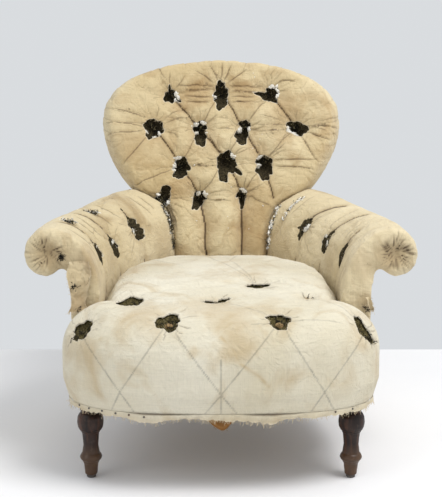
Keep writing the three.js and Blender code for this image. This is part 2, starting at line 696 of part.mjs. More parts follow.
// A rail low behind the stuffing, that the arm's hessian and cover are tacked to.
function armTackRail() {
  const steps = 7;
  const corners = [[22, 232], [40, 232], [40, 258], [22, 258]].map(([o, z]) => new THREE.Vector2(o, z));
  const sections = Array.from({ length: steps + 1 }, () => corners);
  const [start, end] = [0.1, 0.88]; // shares of the arm's length
  return solidOf(loft(sections, (k, p) => armPoint(lerp(start, end, k / steps), p.x, p.y)));
}

// The arm's stuffed front, a thin pad over the facing board.
function armFrontPad() {
  const front = 79.5;
  return board(frontOutline(0, ARM_BASE), front, ARM_FRONT.y - front - GAP);
}

// The outside of the arm: plain cloth from under the scroll down to the seat rail.
const outsideLine = curve([
  [171, 574, 0], [192, 537, 0], [228, 478, 0], [265, 400, 0], [291, 300, 0], [305, 200, 0], [309, 124, 0],
]);
const OUTSIDE_TOP = [452, 446, 432, 418, 407, 402, 400]; // its upper edge, from the back to the front

function outsideArm() {
  const steps = 12;
  const thick = 2;
  const foot = RAIL.bottom - 2;
  const last = OUTSIDE_TOP.length - 1;
  const sections = Array.from({ length: steps + 1 }, (_, i) => {
    const k = (i / steps) * last;
    const high = lerp(OUTSIDE_TOP[Math.floor(k)], OUTSIDE_TOP[Math.min(Math.floor(k) + 1, last)], k % 1);
    return [[0, foot], [thick, foot], [thick, high], [0, high]].map(([o, z]) => new THREE.Vector2(o, z));
  });
  return loft(sections, (k, p) => {
    const at = outsideLine.getPointAt(k / steps);
    const d = outsideLine.getTangentAt(k / steps);
    return new THREE.Vector3(at.x - d.y * p.x, at.y + d.x * p.x, p.y);
  });
}

function buildArms() {
  const backCut = backSpace();
  const postCut = postSpace();
  const cut = (solid) => geometryOf(mainPiece(solid.subtract(backCut).subtract(postCut)));
  addPair("arm_facing_board", facingBoard(), MATERIAL.beech);
  addPair("arm_top_rail", cut(solidOf(armTopRail())), MATERIAL.beech);
  addPair("arm_tack_rail", cut(armTackRail()), MATERIAL.beech);
  addPair("arm_hessian", cut(armLayer(ARM_PAD + GAP, ARM_PAD + GAP + 1.2, 6)), MATERIAL.hessian);
  addPair("arm_pad", cut(armLayer(COVER + GAP, ARM_PAD)), MATERIAL.stuffing);
  addPair("arm_cover", cut(armLayer(0, COVER)), MATERIAL.backCalico);
  addPair("arm_front_pad", armFrontPad(), MATERIAL.backCalico);
  addPair("outside_arm_panel", cut(solidOf(outsideArm())), MATERIAL.backCalico);
}

buildFrame();
buildSeat();
buildBack();
buildArms();

// The origin is on the floor, under the middle of the chair's box.
const bounds = new THREE.Box3().setFromObject(chair, true);
chair.position.set(0, -(bounds.min.y + bounds.max.y) / 2, -FLOOR);

export default chair;
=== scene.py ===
"""A low button-back armchair, stripped to its torn calico under-cover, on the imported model's frame.

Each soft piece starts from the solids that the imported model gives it. It is relaxed, pressed in where the
buttons were and along the folds between them, and then torn open there, down to the hair stuffing.
Lengths are in metres. "Across" is to the sitter's left, +X, and the sitter faces -Y.
"""
import math
from collections import namedtuple

import bmesh
import bpy
import numpy as np
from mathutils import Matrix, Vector
from mathutils.bvhtree import BVHTree


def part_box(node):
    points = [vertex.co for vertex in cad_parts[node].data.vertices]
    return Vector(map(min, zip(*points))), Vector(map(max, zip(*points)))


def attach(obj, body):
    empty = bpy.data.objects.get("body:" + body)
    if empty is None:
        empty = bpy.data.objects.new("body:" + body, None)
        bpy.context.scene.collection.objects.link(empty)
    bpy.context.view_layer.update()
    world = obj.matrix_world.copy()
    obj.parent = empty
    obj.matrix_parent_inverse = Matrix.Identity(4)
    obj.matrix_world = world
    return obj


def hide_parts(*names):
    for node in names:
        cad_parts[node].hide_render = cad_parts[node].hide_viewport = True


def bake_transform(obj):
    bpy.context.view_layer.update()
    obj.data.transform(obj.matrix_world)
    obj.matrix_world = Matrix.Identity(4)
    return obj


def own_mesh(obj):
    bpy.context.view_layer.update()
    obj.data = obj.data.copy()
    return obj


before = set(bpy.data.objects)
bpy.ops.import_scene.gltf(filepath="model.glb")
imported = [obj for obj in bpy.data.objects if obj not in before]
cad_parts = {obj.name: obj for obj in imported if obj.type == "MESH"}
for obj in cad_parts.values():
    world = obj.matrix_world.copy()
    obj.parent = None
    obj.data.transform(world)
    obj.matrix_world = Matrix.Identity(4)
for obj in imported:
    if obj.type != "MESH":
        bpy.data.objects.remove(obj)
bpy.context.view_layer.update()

MM = 0.001
GRAIN = 3 * MM
COARSE = 2 * GRAIN
FOLD_WANDER = 1.5 * MM
STUFFING_GAP = 7 * MM
WIDEST_TEAR = 0.07  # from a hole's middle to the farthest cloth that it can take away
SIDES = {"left": -1, "right": 1}

# The frame's own places
SEAT_LOW, SEAT_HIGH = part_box("seat_cover")
BACK_LOW, BACK_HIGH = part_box("back_cover")
ARM_LOW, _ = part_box("arm_cover_right")
FACING_LOW, FACING_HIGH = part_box("arm_front_pad_right")
BORDER_LOW, BORDER_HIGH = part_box("seat_border")
SEAT_TOP = SEAT_HIGH.z
HALF_BACK = BACK_HIGH.x
SCROLL = Vector((FACING_HIGH.x - 0.050, FACING_LOW.y, FACING_HIGH.z - 0.054))


# ---------------------------------------------------------------- meshes as arrays

def new_piece(name, mesh):
    """A new object of that mesh, in the scene."""
    piece = bpy.data.objects.new(name, mesh)
    bpy.context.scene.collection.objects.link(piece)
    return piece


def piece_of(name, points, faces, smooth=True):
    """A new object from lists of points and faces."""
    mesh = bpy.data.meshes.new(name)
    mesh.from_pydata([tuple(p) for p in points], [], faces)
    mesh.validate()
    if smooth:
        mesh.shade_smooth()
    return new_piece(name, mesh)


def points_of(piece):
    """The piece's points, one row each."""
    found = np.empty(len(piece.data.vertices) * 3)
    piece.data.vertices.foreach_get("co", found)
    return found.reshape(-1, 3)


def move_points(piece, points):
    """Puts the piece's points where the rows say."""
    piece.data.vertices.foreach_set("co", np.ascontiguousarray(points, dtype=np.float64).ravel())
    piece.data.update()


def outward(piece):
    """The direction out of the surface at each of the piece's points."""
    found = np.empty(len(piece.data.vertices) * 3)
    piece.data.vertex_normals.foreach_get("vector", found)
    return found.reshape(-1, 3)


def mark(piece, name, values):
    """Stores one number at each point, for a material to read."""
    layer = piece.data.attributes.get(name) or piece.data.attributes.new(name, "FLOAT", "POINT")
    layer.data.foreach_set("value", np.clip(values, 0.0, 1.0).astype(np.float32))


def add_mark(piece, name, values):
    """Strengthens a mark where the new values are higher than those it has."""
    layer = piece.data.attributes.get(name)
    known = np.zeros(len(piece.data.vertices), dtype=np.float32)
    if layer:
        layer.data.foreach_get("value", known)
    mark(piece, name, np.maximum(known, values))


def applied(piece):
    """Makes the piece's modifiers part of its mesh."""
    view = bpy.context.evaluated_depsgraph_get()
    mesh = bpy.data.meshes.new_from_object(piece.evaluated_get(view))
    piece.modifiers.clear()
    piece.data = mesh
    return piece


def one_skin(name, nodes, grain, filling=()):
    """One closed skin round those CAD nodes, with faces about one grain across.

    filling holds (node, share, drop): a copy of the node at that share of its width and that much lower,
    which fills a hollow behind or below a thin shell.
    """
    shape = bmesh.new()
    for node, share, drop in [(node, 1.0, 0.0) for node in nodes] + list(filling):
        low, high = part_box(node)
        middle = (low + high) / 2
        known = len(shape.verts)
        shape.from_mesh(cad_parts[node].data)
        shape.verts.ensure_lookup_table()
        for vert in shape.verts[known:]:
            vert.co.x = middle.x + share * (vert.co.x - middle.x)
            vert.co.y = middle.y + share * (vert.co.y - middle.y)
            vert.co.z -= drop
    mesh = bpy.data.meshes.new(name)
    shape.to_mesh(mesh)
    shape.free()
    piece = new_piece(name, mesh)
    remesh = piece.modifiers.new("skin", "REMESH")
    remesh.mode = "VOXEL"
    remesh.voxel_size = grain
    applied(piece)
    piece.data.materials.clear()
    piece.data.shade_smooth()
    return piece


def relax(piece, rounds, share=0.6):
    """Evens the surface out: each point goes a share of the way to the middle of its neighbours."""
    edges = np.empty(len(piece.data.edges) * 2, dtype=np.int64)
    piece.data.edges.foreach_get("vertices", edges)
    first, second = edges.reshape(-1, 2).T
    points = points_of(piece)
    many = len(points)
    neighbours = np.bincount(edges, minlength=many)[:, None]
    for _ in range(rounds):
        sums = np.empty_like(points)
        for axis in range(3):
            sums[:, axis] = np.bincount(first, points[second, axis], many)
            sums[:, axis] += np.bincount(second, points[first, axis], many)
        points += share * (sums / neighbours - points)
    move_points(piece, points)
    return piece


def ripple(points, size, seed=0):
    """A smooth random field from -1 to 1, with waves about one size long."""
    chance = np.random.default_rng(seed)
    field = np.zeros(len(points))
    waves = 9
    for _ in range(waves):
        direction = chance.normal(size=3)
        direction /= np.linalg.norm(direction)
        stretch = chance.uniform(0.6, 1.6)
        field += np.sin(points @ direction * (2 * math.pi * stretch / size) + chance.uniform(0, 6.28))
    return field / math.sqrt(waves) / 1.6


def crumple(points, size, seed):
    """Sharp valleys of crumpled cloth, from 0 to 1 at their deepest, about one size apart and uneven."""
    drift = np.stack([ripple(points, 1.6 * size, seed + k) for k in range(3)], axis=1)
    field = ripple(points + 0.22 * size * drift, 1.5 * size, seed + 5)
    valley = np.clip(1 - np.abs(field) / 0.20, 0, 1) ** 1.5
    return valley * np.clip(0.35 + 1.1 * ripple(points, 2.6 * size, seed + 6), 0, 1)


# ---------------------------------------------------------------- places on a surface

class Surface:
    """Finds places on a piece as it is now."""

    def __init__(self, piece):
        self.tree = BVHTree.FromObject(piece, bpy.context.evaluated_depsgraph_get())

    def near(self, point):
        """The nearest place on the surface, and the way out of it."""
        place, out, _, _ = self.tree.find_nearest(Vector(point))
        return place, out

    def from_front(self, across, up):
        """The first place met by looking straight back from in front, or the nearest one to a miss."""
        place, _, _, _ = self.tree.ray_cast(Vector((across, -1.0, up)), Vector((0, 1, 0)))
        return place or self.near((across, BACK_HIGH.y, up))[0]

    def from_above(self, across, back):
        """The first place met by looking straight down."""
        place, _, _, _ = self.tree.ray_cast(Vector((across, back, 2.0)), Vector((0, 0, -1)))
        return place

    def from_middle(self, side, back, up):
        """The first place met by looking out sideways from the chair's middle, or the nearest to a miss."""
        place, _, _, _ = self.tree.ray_cast(Vector((0, back, up)), Vector((side, 0, 0)))
        return place or self.near((side * ARM_LOW.x, back, up))[0]

    def over(self, start, end, inward, count=9):
        """Places between two on a rounded surface, in line with them for someone who looks that way.

        A place that is far from the straight line is on the other side of a hole, and is left out.
        """
        farthest = 0.09
        places = [start]
        for i in range(1, count):
            straight = start.lerp(end, i / count)
            place, _, _, _ = self.tree.ray_cast(straight - inward, inward)
            if place and (place - straight).length < farthest:
                places.append(place)
        return places + [end]

    def trace(self, stops, step=3 * MM, wander=0.0):
        """Points along the surface through the stops, and the ways out of it there."""
        places, outs = [], []
        for start, end in zip(stops, stops[1:]):
            count = max(2, int((end - start).length / step))
            for i in range(count):
                share = i / count
                aside = wander * math.sin(4.0 * share + 40.0 * start.x) * math.sin(math.pi * share)
                place, out = self.near(start.lerp(end, share) + Vector((aside, 0, aside)))
                places.append(place)
                outs.append(out)
        place, out = self.near(stops[-1])
        return np.array(places + [place]), np.array(outs + [out])


def beside(points, path, reach):
    """Where each near point lies by a traced path: its number, how far off, which side, and how far along."""
    places, outs = path
    low = places.min(axis=0) - reach
    high = places.max(axis=0) + reach
    near = np.nonzero(((points > low) & (points < high)).all(axis=1))[0]
    best = np.full(len(near), 1e9)
    side = np.zeros(len(near))
    along = np.zeros(len(near))
    foot = np.zeros((len(near), 3))
    for i in range(len(places) - 1):
        run = places[i + 1] - places[i]
        offset = points[near] - places[i]
        share = np.clip(offset @ run / max(run @ run, 1e-12), 0, 1)
        here = places[i] + share[:, None] * run
        away = np.linalg.norm(points[near] - here, axis=1)
        closer = away < best
        best[closer] = away[closer]
        foot[closer] = here[closer]
        side[closer] = np.sign(offset[closer] @ np.cross(outs[i], run))
        along[closer] = (i + share[closer]) / (len(places) - 1)
    kept = best < reach
    return near[kept], best[kept], side[kept], along[kept], foot[kept]


# ---------------------------------------------------------------- folds and holes

# stops: places on the surface; depth of the tuck; width of the slope beside it; lip that stands up on one
# side; open ends fade out. dark is how strongly the dark line of painted shade along the fold shows.
Fold = namedtuple("Fold", "stops depth width lip dark open_ends")


def fold(stops, depth, width, lip, dark, open_ends=False):
    """A fold through the stops, its measures given in millimetres."""
    return Fold(stops, depth * MM, width * MM, lip * MM, dark, open_ends)


def strength_along(one, along):
    """How strong a fold is at each share of its length: the same all along, or fading toward open ends."""
    return np.sqrt(np.sin(math.pi * np.clip(along, 0, 1))) if one.open_ends else 1.0


def strains_round(surface, openings, count, longest, seed):
    """Short fine creases that run out from each hole, where its lost button pulled the cloth."""
    chance = np.random.default_rng(seed)
    made = []
    for opening in openings:
        size = opening.hole.reach / 0.052
        for number in range(count):
            degrees = 360 * (number + chance.uniform(0, 0.8)) / count
            start = opening.rim(degrees)
            length = chance.uniform(0.35, 1.0) * longest * size
            bend = opening.way(degrees + 90) * chance.uniform(-0.15, 0.15) * length
            middle = start + opening.way(degrees) * (0.5 * length) + bend
            end = start + opening.way(degrees) * length
            stops = [surface.near(place)[0] for place in (start, middle, end)]
            made.append(fold(stops, chance.uniform(1.0, 2.6), 5, 1.1, chance.uniform(0.10, 0.50), True))
    return made


# blobs: (right, up, width, height, turn in degrees) in millimetres, as seen from in front; together they
# make the torn opening. wads: the angles round it where white wadding hangs out.
Hole = namedtuple("Hole", "place blobs wads press reach")


class Opening:
    """One torn hole on a surface: its own flat axes and its ragged outline."""

    UP = Vector((0, 0.5, 1))

    def __init__(self, surface, hole, number):
        self.hole = hole
        self.centre, self.out = surface.near(hole.place)
        self.up = (self.UP - self.out * self.out.dot(self.UP)).normalized()
        self.right = self.up.cross(self.out)
        self.chance = np.random.default_rng(100 + number)
        self.waves = self.chance.uniform(0, 2 * math.pi, 5)

    def way(self, degrees):
        """The direction on the surface at that angle from the right."""
        turn = math.radians(degrees)
        return self.right * math.cos(turn) + self.up * math.sin(turn)

    @property
    def floor(self):
        """The middle of the opening, at the level of the pressed-in cloth."""
        return self.centre - self.out * 4 * MM

    def away(self, points):
        """How far each point is from the middle of the opening."""
        return np.linalg.norm(points - np.array(self.centre), axis=1)

    def faced_by(self, out):
        """Whether each point's way out is on the opening's side of the piece."""
        return out @ np.array(self.out) > 0

    def flat(self, points):
        """The points' places on the opening's own axes."""
        offset = points - np.array(self.centre)
        return offset @ np.array(self.right), offset @ np.array(self.up)

    def pleat_lengths(self, angle):
        """How strong the pleats are in each direction round the hole, so that no two are alike."""
        return 0.65 + 0.35 * np.sin(2 * angle + self.waves[2]) * np.sin(5 * angle + self.waves[3])

    def depth_inside(self, points):
        """Below 0 inside the torn outline and above it outside, with each point's way to the outline."""
        right, up = self.flat(points)
        best = np.full(len(points), 1e9)
        move = np.zeros((len(points), 2))
        for blob_right, blob_up, width, height, turn in self.hole.blobs:
            cos, sin = math.cos(math.radians(turn)), math.sin(math.radians(turn))
            half_width = width * MM / 2
            half_height = height * MM / 2
            x = right - blob_right * MM
            y = up - blob_up * MM
            p = (x * cos + y * sin) / half_width
            q = (y * cos - x * sin) / half_height
            ray = np.hypot(p, q) + 1e-9
            angle = np.arctan2(q, p)
            edge = 1.0
            for count, size, start in zip((2, 3, 5, 8, 13), (0.08, 0.10, 0.08, 0.045, 0.025), self.waves):
                edge = edge + size * np.sin(count * angle + start)
            depth = ray / edge - 1
            inner = depth < best
            best[inner] = depth[inner]
            scale = (edge / ray - 1)[inner]
            move[inner, 0] = x[inner] * scale
            move[inner, 1] = y[inner] * scale
        return best, move

    def rim(self, degrees):
        """The place on the outline in that direction from the middle."""
        steps = np.arange(1, 60) * MM
        line = np.array([self.centre + self.way(degrees) * step for step in steps])
        depth, _ = self.depth_inside(line)
        outside = np.nonzero(depth > 0)[0]
        return Vector(line[outside[0] if len(outside) else -1])


def hollow(points, out, openings, folds, surface):
    """The broad relief of the padding: hollows at the buttons and valleys along the folds."""
    height = np.zeros(len(points))
    for opening in openings:
        share = np.clip(1 - opening.away(points) / opening.hole.reach, 0, 1) * opening.faced_by(out)
        height -= opening.hole.press * share ** 1.7
    for one in folds:
        near, away, _, along, _ = beside(points, surface.trace(one.stops), 5 * one.width)
        ends = strength_along(one, along)
        height[near] -= one.depth * ends * np.exp(-(away / (1.6 * one.width)) ** 1.3)
    return height


def crease(points, openings, folds, surface):
    """The sharp relief of the cloth: tucks with a raised lip, and pleats that run into the holes.

    Returns how far each point moves outward, and two marks of painted shade for the material: a dark line
    down each fold, and browner shade round the holes and beside the folds.
    """
    height = np.zeros(len(points))
    line = np.zeros(len(points))
    painted_shade = np.zeros(len(points))
    for opening in openings:
        right, up = opening.flat(points)
        away = opening.away(points)
        near = away < 2.2 * opening.hole.reach
        angle = np.arctan2(up[near], right[near]) + 0.25 * ripple(points[near], 0.03, 5)
        broad = np.abs(np.sin(7.5 * angle + opening.waves[0]))
        fine = np.abs(np.sin(12 * angle + opening.waves[1]))
        pleats = 1 - (broad + 0.7 * fine) * opening.pleat_lengths(angle)
        fade = np.exp(-away[near] / (0.45 * opening.hole.reach))
        height[near] += 1.9 * MM * pleats * fade
        # painted shade: browner toward each hole, where the cloth dips into its hollow
        painted_shade[near] = np.maximum(painted_shade[near], 0.6 * np.exp(-away[near] / (0.5 * opening.hole.reach)))
    for one in folds:
        path = surface.trace(one.stops, wander=FOLD_WANDER)
        near, away, side, along, _ = beside(points, path, 4 * one.width)
        ends = strength_along(one, along)
        height[near] -= 0.45 * one.depth * ends * np.exp(-(away / (0.5 * one.width)))
        ridge = np.exp(-((away - 0.6 * one.width) / (0.45 * one.width)) ** 2)
        height[near] += one.lip * ends * ridge * (side > 0)
        # painted shade: a dark line down the middle of each tuck
        line[near] = np.maximum(line[near], one.dark * ends * np.exp(-(away / (1.3 * MM)) ** 2))
        # painted shade: browner beside each fold
        painted_shade[near] = np.maximum(painted_shade[near], 0.5 * one.dark * ends * np.exp(-away / (1.3 * one.width)))
    return height, line, painted_shade


def draw_in(points, folds, surface, grain):
    """Slides the points nearest to each fold onto its line, so that the fold stays crisp."""
    for one in folds:
        near, _, _, _, foot = beside(points, surface.trace(one.stops, wander=FOLD_WANDER), 0.5 * grain)
        points[near] = foot
    return points


def tear_open(piece, openings, points, out):
    """Removes the cloth inside each outline and turns its torn rim in; out is the way out at each point."""
    torn = np.full(len(points), 9.0)
    pull = np.zeros_like(points)
    for opening in openings:
        near = np.nonzero((opening.away(points) < WIDEST_TEAR) & opening.faced_by(out))[0]
        depth, move = opening.depth_inside(points[near])
        inner = depth < torn[near]
        torn[near[inner]] = depth[inner]
        axes = np.array([opening.right, opening.up])
        pull[near[inner]] = (move @ axes)[inner]
    corners = np.empty(len(piece.data.loops), dtype=np.int64)
    piece.data.loops.foreach_get("vertex_index", corners)
    corners = corners.reshape(-1, 4)
    gone = torn[corners].mean(axis=1) < 0
    at_rim = np.zeros(len(points), dtype=bool)
    at_rim[corners[gone].ravel()] = True
    kept = np.zeros(len(points), dtype=bool)
    kept[corners[~gone].ravel()] = True
    at_rim &= kept
    moved = points_of(piece)
    moved[at_rim] += pull[at_rim]
    move_points(piece, moved)
    mark(piece, "rim", at_rim.astype(float))

    shape = bmesh.new()
    shape.from_mesh(piece.data)
    shape.faces.ensure_lookup_table()
    lost = [shape.faces[i] for i in np.nonzero(gone)[0]]
    bmesh.ops.delete(shape, geom=lost, context="FACES")
    rim_edges = [edge for edge in shape.edges if edge.is_boundary]
    if rim_edges:
        for edge in rim_edges:
            for vert in edge.verts:
                vert.normal_update()
        ways = {vert: vert.normal.copy() for edge in rim_edges for vert in edge.verts}
        made = bmesh.ops.extrude_edge_only(shape, edges=rim_edges)
        turned = [item for item in made["geom"] if isinstance(item, bmesh.types.BMVert)]
        for vert in turned:
            source = next(e.other_vert(vert) for e in vert.link_edges if e.other_vert(vert) in ways)
            vert.co -= ways[source] * 3.5 * MM
    shape.to_mesh(piece.data)
    shape.free()
    piece.data.shade_smooth()


def swell(piece, held, cap):
    """Lets cloth simulation puff the padding out between its held points, by no more than the cap."""
    before = points_of(piece)
    group = piece.vertex_groups.new(name="held")
    for number in np.nonzero(held)[0]:
        group.add([int(number)], 1.0, "REPLACE")
    last_frame = 20
    cloth = piece.modifiers.new("cloth", "CLOTH")
    cloth.settings.quality = 3
    cloth.settings.mass = 0.3
    cloth.settings.tension_stiffness = 12
    cloth.settings.compression_stiffness = 12
    cloth.settings.bending_stiffness = 0.6
    cloth.settings.use_pressure = True
    cloth.settings.uniform_pressure_force = 4.0
    cloth.settings.vertex_group_mass = "held"
    cloth.settings.effector_weights.gravity = 0
    cloth.collision_settings.use_collision = False
    scene = bpy.context.scene
    for number in range(1, last_frame + 1):
        scene.frame_set(number)
    applied(piece)
    scene.frame_set(1)
    move = points_of(piece) - before
    length = np.linalg.norm(move, axis=1)[:, None] + 1e-9
    move_points(piece, before + move / length * cap * np.tanh(length / cap))
    piece.vertex_groups.clear()


def draw_lines(piece, lines, name, strength, width, inward=Vector((0, 1, -0.2))):
    """Draws lines on a finished piece, through the stops of each, as a mark for the material.

    Each line is straight for someone who looks inward at the piece.
    """
    surface = Surface(piece)
    points = points_of(piece)
    values = np.zeros(len(points))
    for stops in lines:
        spread = [place for start, end in zip(stops, stops[1:]) for place in surface.over(start, end, inward)]
        path = surface.trace(spread, wander=0.5 * MM)
        near, _, _, _, foot = beside(points, path, 0.5 * GRAIN)
        points[near] = foot
        near, away, _, along, _ = beside(points, path, 3 * width)
        fade = 0.75 + 0.25 * np.sin(31 * along) * np.sin(7 * along + 1)
        values[near] = np.maximum(values[near], strength * fade * np.exp(-(away / width) ** 2))
    move_points(piece, points)
    add_mark(piece, name, values)


def soil(piece, spots, seed):
    """Soft uneven stains: each spot is its middle, how far it reaches and how strong it is."""
    points = points_of(piece)
    values = np.zeros(len(points))
    uneven = 1 + 0.35 * ripple(points, 0.05, seed) + 0.25 * ripple(points, 0.018, seed + 1)
    for middle, reach, strength in spots:
        away = np.linalg.norm(points - np.array(middle), axis=1) * uneven / reach
        values = np.maximum(values, strength * np.clip(1.6 * (1 - away), 0, 1))
    add_mark(piece, "soil", values)


def trim_below(piece, level):
    """Removes the part of a hidden piece that is lower than a level."""
    shape = bmesh.new()
    shape.from_mesh(piece.data)
    low = [face for face in shape.faces if face.calc_center_median().z < level]
    bmesh.ops.delete(shape, geom=low, context="FACES")
    shape.to_mesh(piece.data)
    shape.free()


def divide(piece):
    """Splits each face in four, smoothly."""
    finer = piece.modifiers.new("finer", "SUBSURF")
    finer.levels = 1
    applied(piece)
    piece.data.shade_smooth()


Torn = namedtuple("Torn", "piece surface openings padding")


def torn_cover(name, base, holes, folds_on, pinned, cap=10 * MM, slack=1.0):
    """A calico cover made from its base skin: hollowed, swollen, creased, and torn open at the holes.

    holes and folds_on give the holes and folds for a surface; pinned says which points can't swell; slack is
    how crumpled the cloth is.
    """
    piece = base
    surface = Surface(piece)
    openings = [Opening(surface, hole, number) for number, hole in enumerate(holes(surface))]
    folds = folds_on(surface, openings)
    points = points_of(piece)
    out = outward(piece)
    height = hollow(points, out, openings, folds, surface)
    held = pinned(points) | (height < -2.5 * MM)
    move_points(piece, points + out * height[:, None])
    swell(piece, held, cap)
    padding = stuffing_in(piece, f"{name}_stuffing", openings, folds, Surface(piece))
    divide(piece)

    surface = Surface(piece)
    openings = [Opening(surface, hole, number) for number, hole in enumerate(holes(surface))]
    folds = folds_on(surface, openings)
    points = draw_in(points_of(piece), folds, surface, GRAIN)
    out = outward(piece)
    height, line, painted_shade = crease(points, openings, folds, surface)
    broad, fine = crumple(points, 0.060, 31), crumple(points, 0.026, 41)
    height += slack * MM * (1.0 * ripple(points, 0.09, 1) - 2.4 * broad - 1.2 * fine)
    # painted shade in the crumple valleys: dark lines in the broad ones, and browner shade in all of them
    line = np.maximum(line, slack * 0.12 * broad ** 3)
    painted_shade = np.maximum(painted_shade, slack * (0.25 * broad + 0.15 * fine))
    move_points(piece, points + out * height[:, None])
    mark(piece, "line", line)
    mark(piece, "painted_shade", painted_shade)
    tear_open(piece, openings, points, out)
    piece.name = f"{name}_calico"
    return Torn(piece, Surface(piece), openings, padding)


def stuffing_in(piece, name, openings, folds, surface):
    """The hair stuffing inside a cover: a lumpy copy of its skin that stays below the cloth's creases."""
    padding = new_piece(name, piece.data.copy())
    points = points_of(padding)
    out = outward(padding)
    height, _, _ = crease(points, openings, folds, surface)
    height = np.minimum(height, 0) - STUFFING_GAP
    for opening in openings:
        depth, _ = opening.depth_inside(points)
        near = (opening.away(points) < 0.06) & opening.faced_by(out)
        height[near] -= 6 * MM * np.clip(-depth[near], 0, 1)
    height += 0.8 * MM * ripple(points, 0.02, 7)
    move_points(padding, points + out * height[:, None])
    return padding


# ---------------------------------------------------------------- hairs, shreds and threads

def spokes(run, sides):
    """Directions spread evenly round a run, square to it."""
    across = run.orthogonal().normalized()
    beyond = run.cross(across)
    turns = [2 * math.pi * number / sides for number in range(sides)]
    return [across * math.cos(turn) + beyond * math.sin(turn) for turn in turns]


def tube_faces(rings, sides):
    """The faces of a tube made of rings of points, closed at both ends."""
    faces = []
    for ring in range(rings - 1):
        for number in range(sides):
            here = ring * sides + number
            beside_it = ring * sides + (number + 1) % sides
            faces.append((here, beside_it, beside_it + sides, here + sides))
    last = (rings - 1) * sides
    return faces + [tuple(reversed(range(sides))), tuple(range(last, last + sides))]


class Pile:
    """Many small closed shapes gathered in one piece, each with its own shade."""

    def __init__(self, seed):
        self.points = []
        self.faces = []
        self.shades = []
        self.chance = np.random.default_rng(seed)

    def add(self, points, faces, shade):
        start = len(self.points)
        self.points += [tuple(p) for p in points]
        self.faces += [tuple(start + corner for corner in face) for face in faces]
        self.shades += [shade] * len(points)

    def fibre(self, path, radius, shade=0.5):
        """A thin three-sided thread along the path, closed at both ends."""
        sides = 3
        points = []
        for number, place in enumerate(path):
            run = (path[min(number + 1, len(path) - 1)] - path[max(number - 1, 0)]).normalized()
            points += [place + radius * spoke for spoke in spokes(run, sides)]
        self.add(points, tube_faces(len(path), sides), shade)

    def wander(self, start, way, length, curl, radius, shade=0.5, drop=0.0):
        """A fibre that sets off one way and curls as it goes."""
        steps = 7
        path = [Vector(start)]
        way = Vector(way).normalized()
        for _ in range(steps):
            way = (way + curl * Vector(self.chance.normal(size=3)) + Vector((0, 0, -drop))).normalized()
            path.append(path[-1] + way * (length / steps))
        self.fibre(path, radius, shade)

    def fringe(self, places, forward, longest, radius):
        """Frayed threads that hang from a torn edge, the longest given in millimetres."""
        for place in places:
            way = (self.chance.uniform(-1, 1), forward, -1)
            self.wander(place, way, self.chance.uniform(2, longest) * MM, 0.4, radius)

    def shred(self, place, out, along, length, width, shade=0.5):
        """A crumpled tuft of wadding, longest along one way and flattened against the cloth."""
        rings, sides = 7, 9
        across = Vector(out).cross(Vector(along)).normalized()
        points = []
        rough = self.chance.uniform(0.35, 1.45, (rings, sides))
        bend = self.chance.uniform(-0.5, 0.5)
        for ring in range(rings):
            share = (ring + 0.5) / rings
            fullness = math.sin(math.pi * share) ** 0.6
            middle = place + along * (length * (share - 0.3)) + across * (bend * width * share)
            for number in range(sides):
                turn = 2 * math.pi * number / sides
                reach = float(0.5 * width * fullness * rough[ring, number])
                spoke = across * math.cos(turn) + out * (0.32 * math.sin(turn) + 0.2)
                points.append(middle + reach * spoke)
        self.add(points, tube_faces(rings, sides), shade)

    def stud(self, place, out, radius):
        """A small domed tack head."""
        sides = 10
        outline = ((1.0, -0.4), (1.0, 0.1), (0.75, 0.42), (0.35, 0.6))
        points = [
            place + spoke * (radius * reach) + out * (radius * rise)
            for reach, rise in outline
            for spoke in spokes(out, sides)
        ]
        self.add(points, tube_faces(len(outline), sides), 0.5)

    def piece(self, name):
        made = piece_of(name, self.points, self.faces)
        mark(made, "shade", np.array(self.shades))
        return made


def fill_holes(name, torn, seed, slot, body, hairs=70):
    """Curled hair in each torn hole, white wadding at its rim, and frayed threads round it."""
    hair = Pile(seed)
    wads = Pile(seed + 1)
    frays = Pile(seed + 2)
    for opening in torn.openings:
        blobs = opening.hole.blobs
        for _ in range(hairs):
            blob = blobs[hair.chance.integers(len(blobs))]
            angle = hair.chance.uniform(0, 2 * math.pi)
            reach = 0.42 * math.sqrt(float(hair.chance.uniform()))
            right = (blob[0] + blob[2] * reach * math.cos(angle)) * MM
            up = (blob[1] + blob[3] * reach * math.sin(angle)) * MM
            deep = hair.chance.uniform(1, 9) * MM
            start = opening.floor + opening.right * right + opening.up * up - opening.out * deep
            way = opening.out * 0.4 + Vector(hair.chance.normal(size=3))
            shade = hair.chance.uniform() ** 2
            thick = hair.chance.uniform(0.4, 0.9) * MM
            hair.wander(start, way, hair.chance.uniform(10, 22) * MM, 0.7, thick, shade)
        for degrees in opening.hole.wads:
            for _ in range(4):
                turn = degrees + wads.chance.uniform(-20, 20)
                place = torn.surface.near(opening.rim(turn))[0] - opening.way(turn) * 2 * MM
                tangent = opening.way(turn + 90 + wads.chance.uniform(-50, 50))
                length = wads.chance.uniform(9, 19) * MM
                width = wads.chance.uniform(4, 9) * MM
                wads.shred(place + opening.out * 2 * MM, opening.out, tangent, length, width)
                for _ in range(5):
                    wads.wander(place + opening.out * 2 * MM, opening.way(turn) + tangent,
                                wads.chance.uniform(5, 12) * MM, 0.6, 0.3 * MM)
        for degrees in range(0, 360, 15):
            turn = degrees + frays.chance.uniform(-7, 7)
            place = torn.surface.near(opening.rim(turn))[0]
            inward = opening.way(turn) * -1 + opening.out * 0.5
            frays.wander(place, inward, frays.chance.uniform(2, 8) * MM, 0.45, 0.28 * MM, 0.5, 0.1)
    dress(hair.piece(f"{name}_hair"), HAIR, "stuffing", body)
    if wads.points:
        dress(wads.piece(f"{name}_wadding"), WADDING, "stuffing", body)
    dress(frays.piece(f"{name}_threads"), THREADS, slot, body)


# ---------------------------------------------------------------- materials

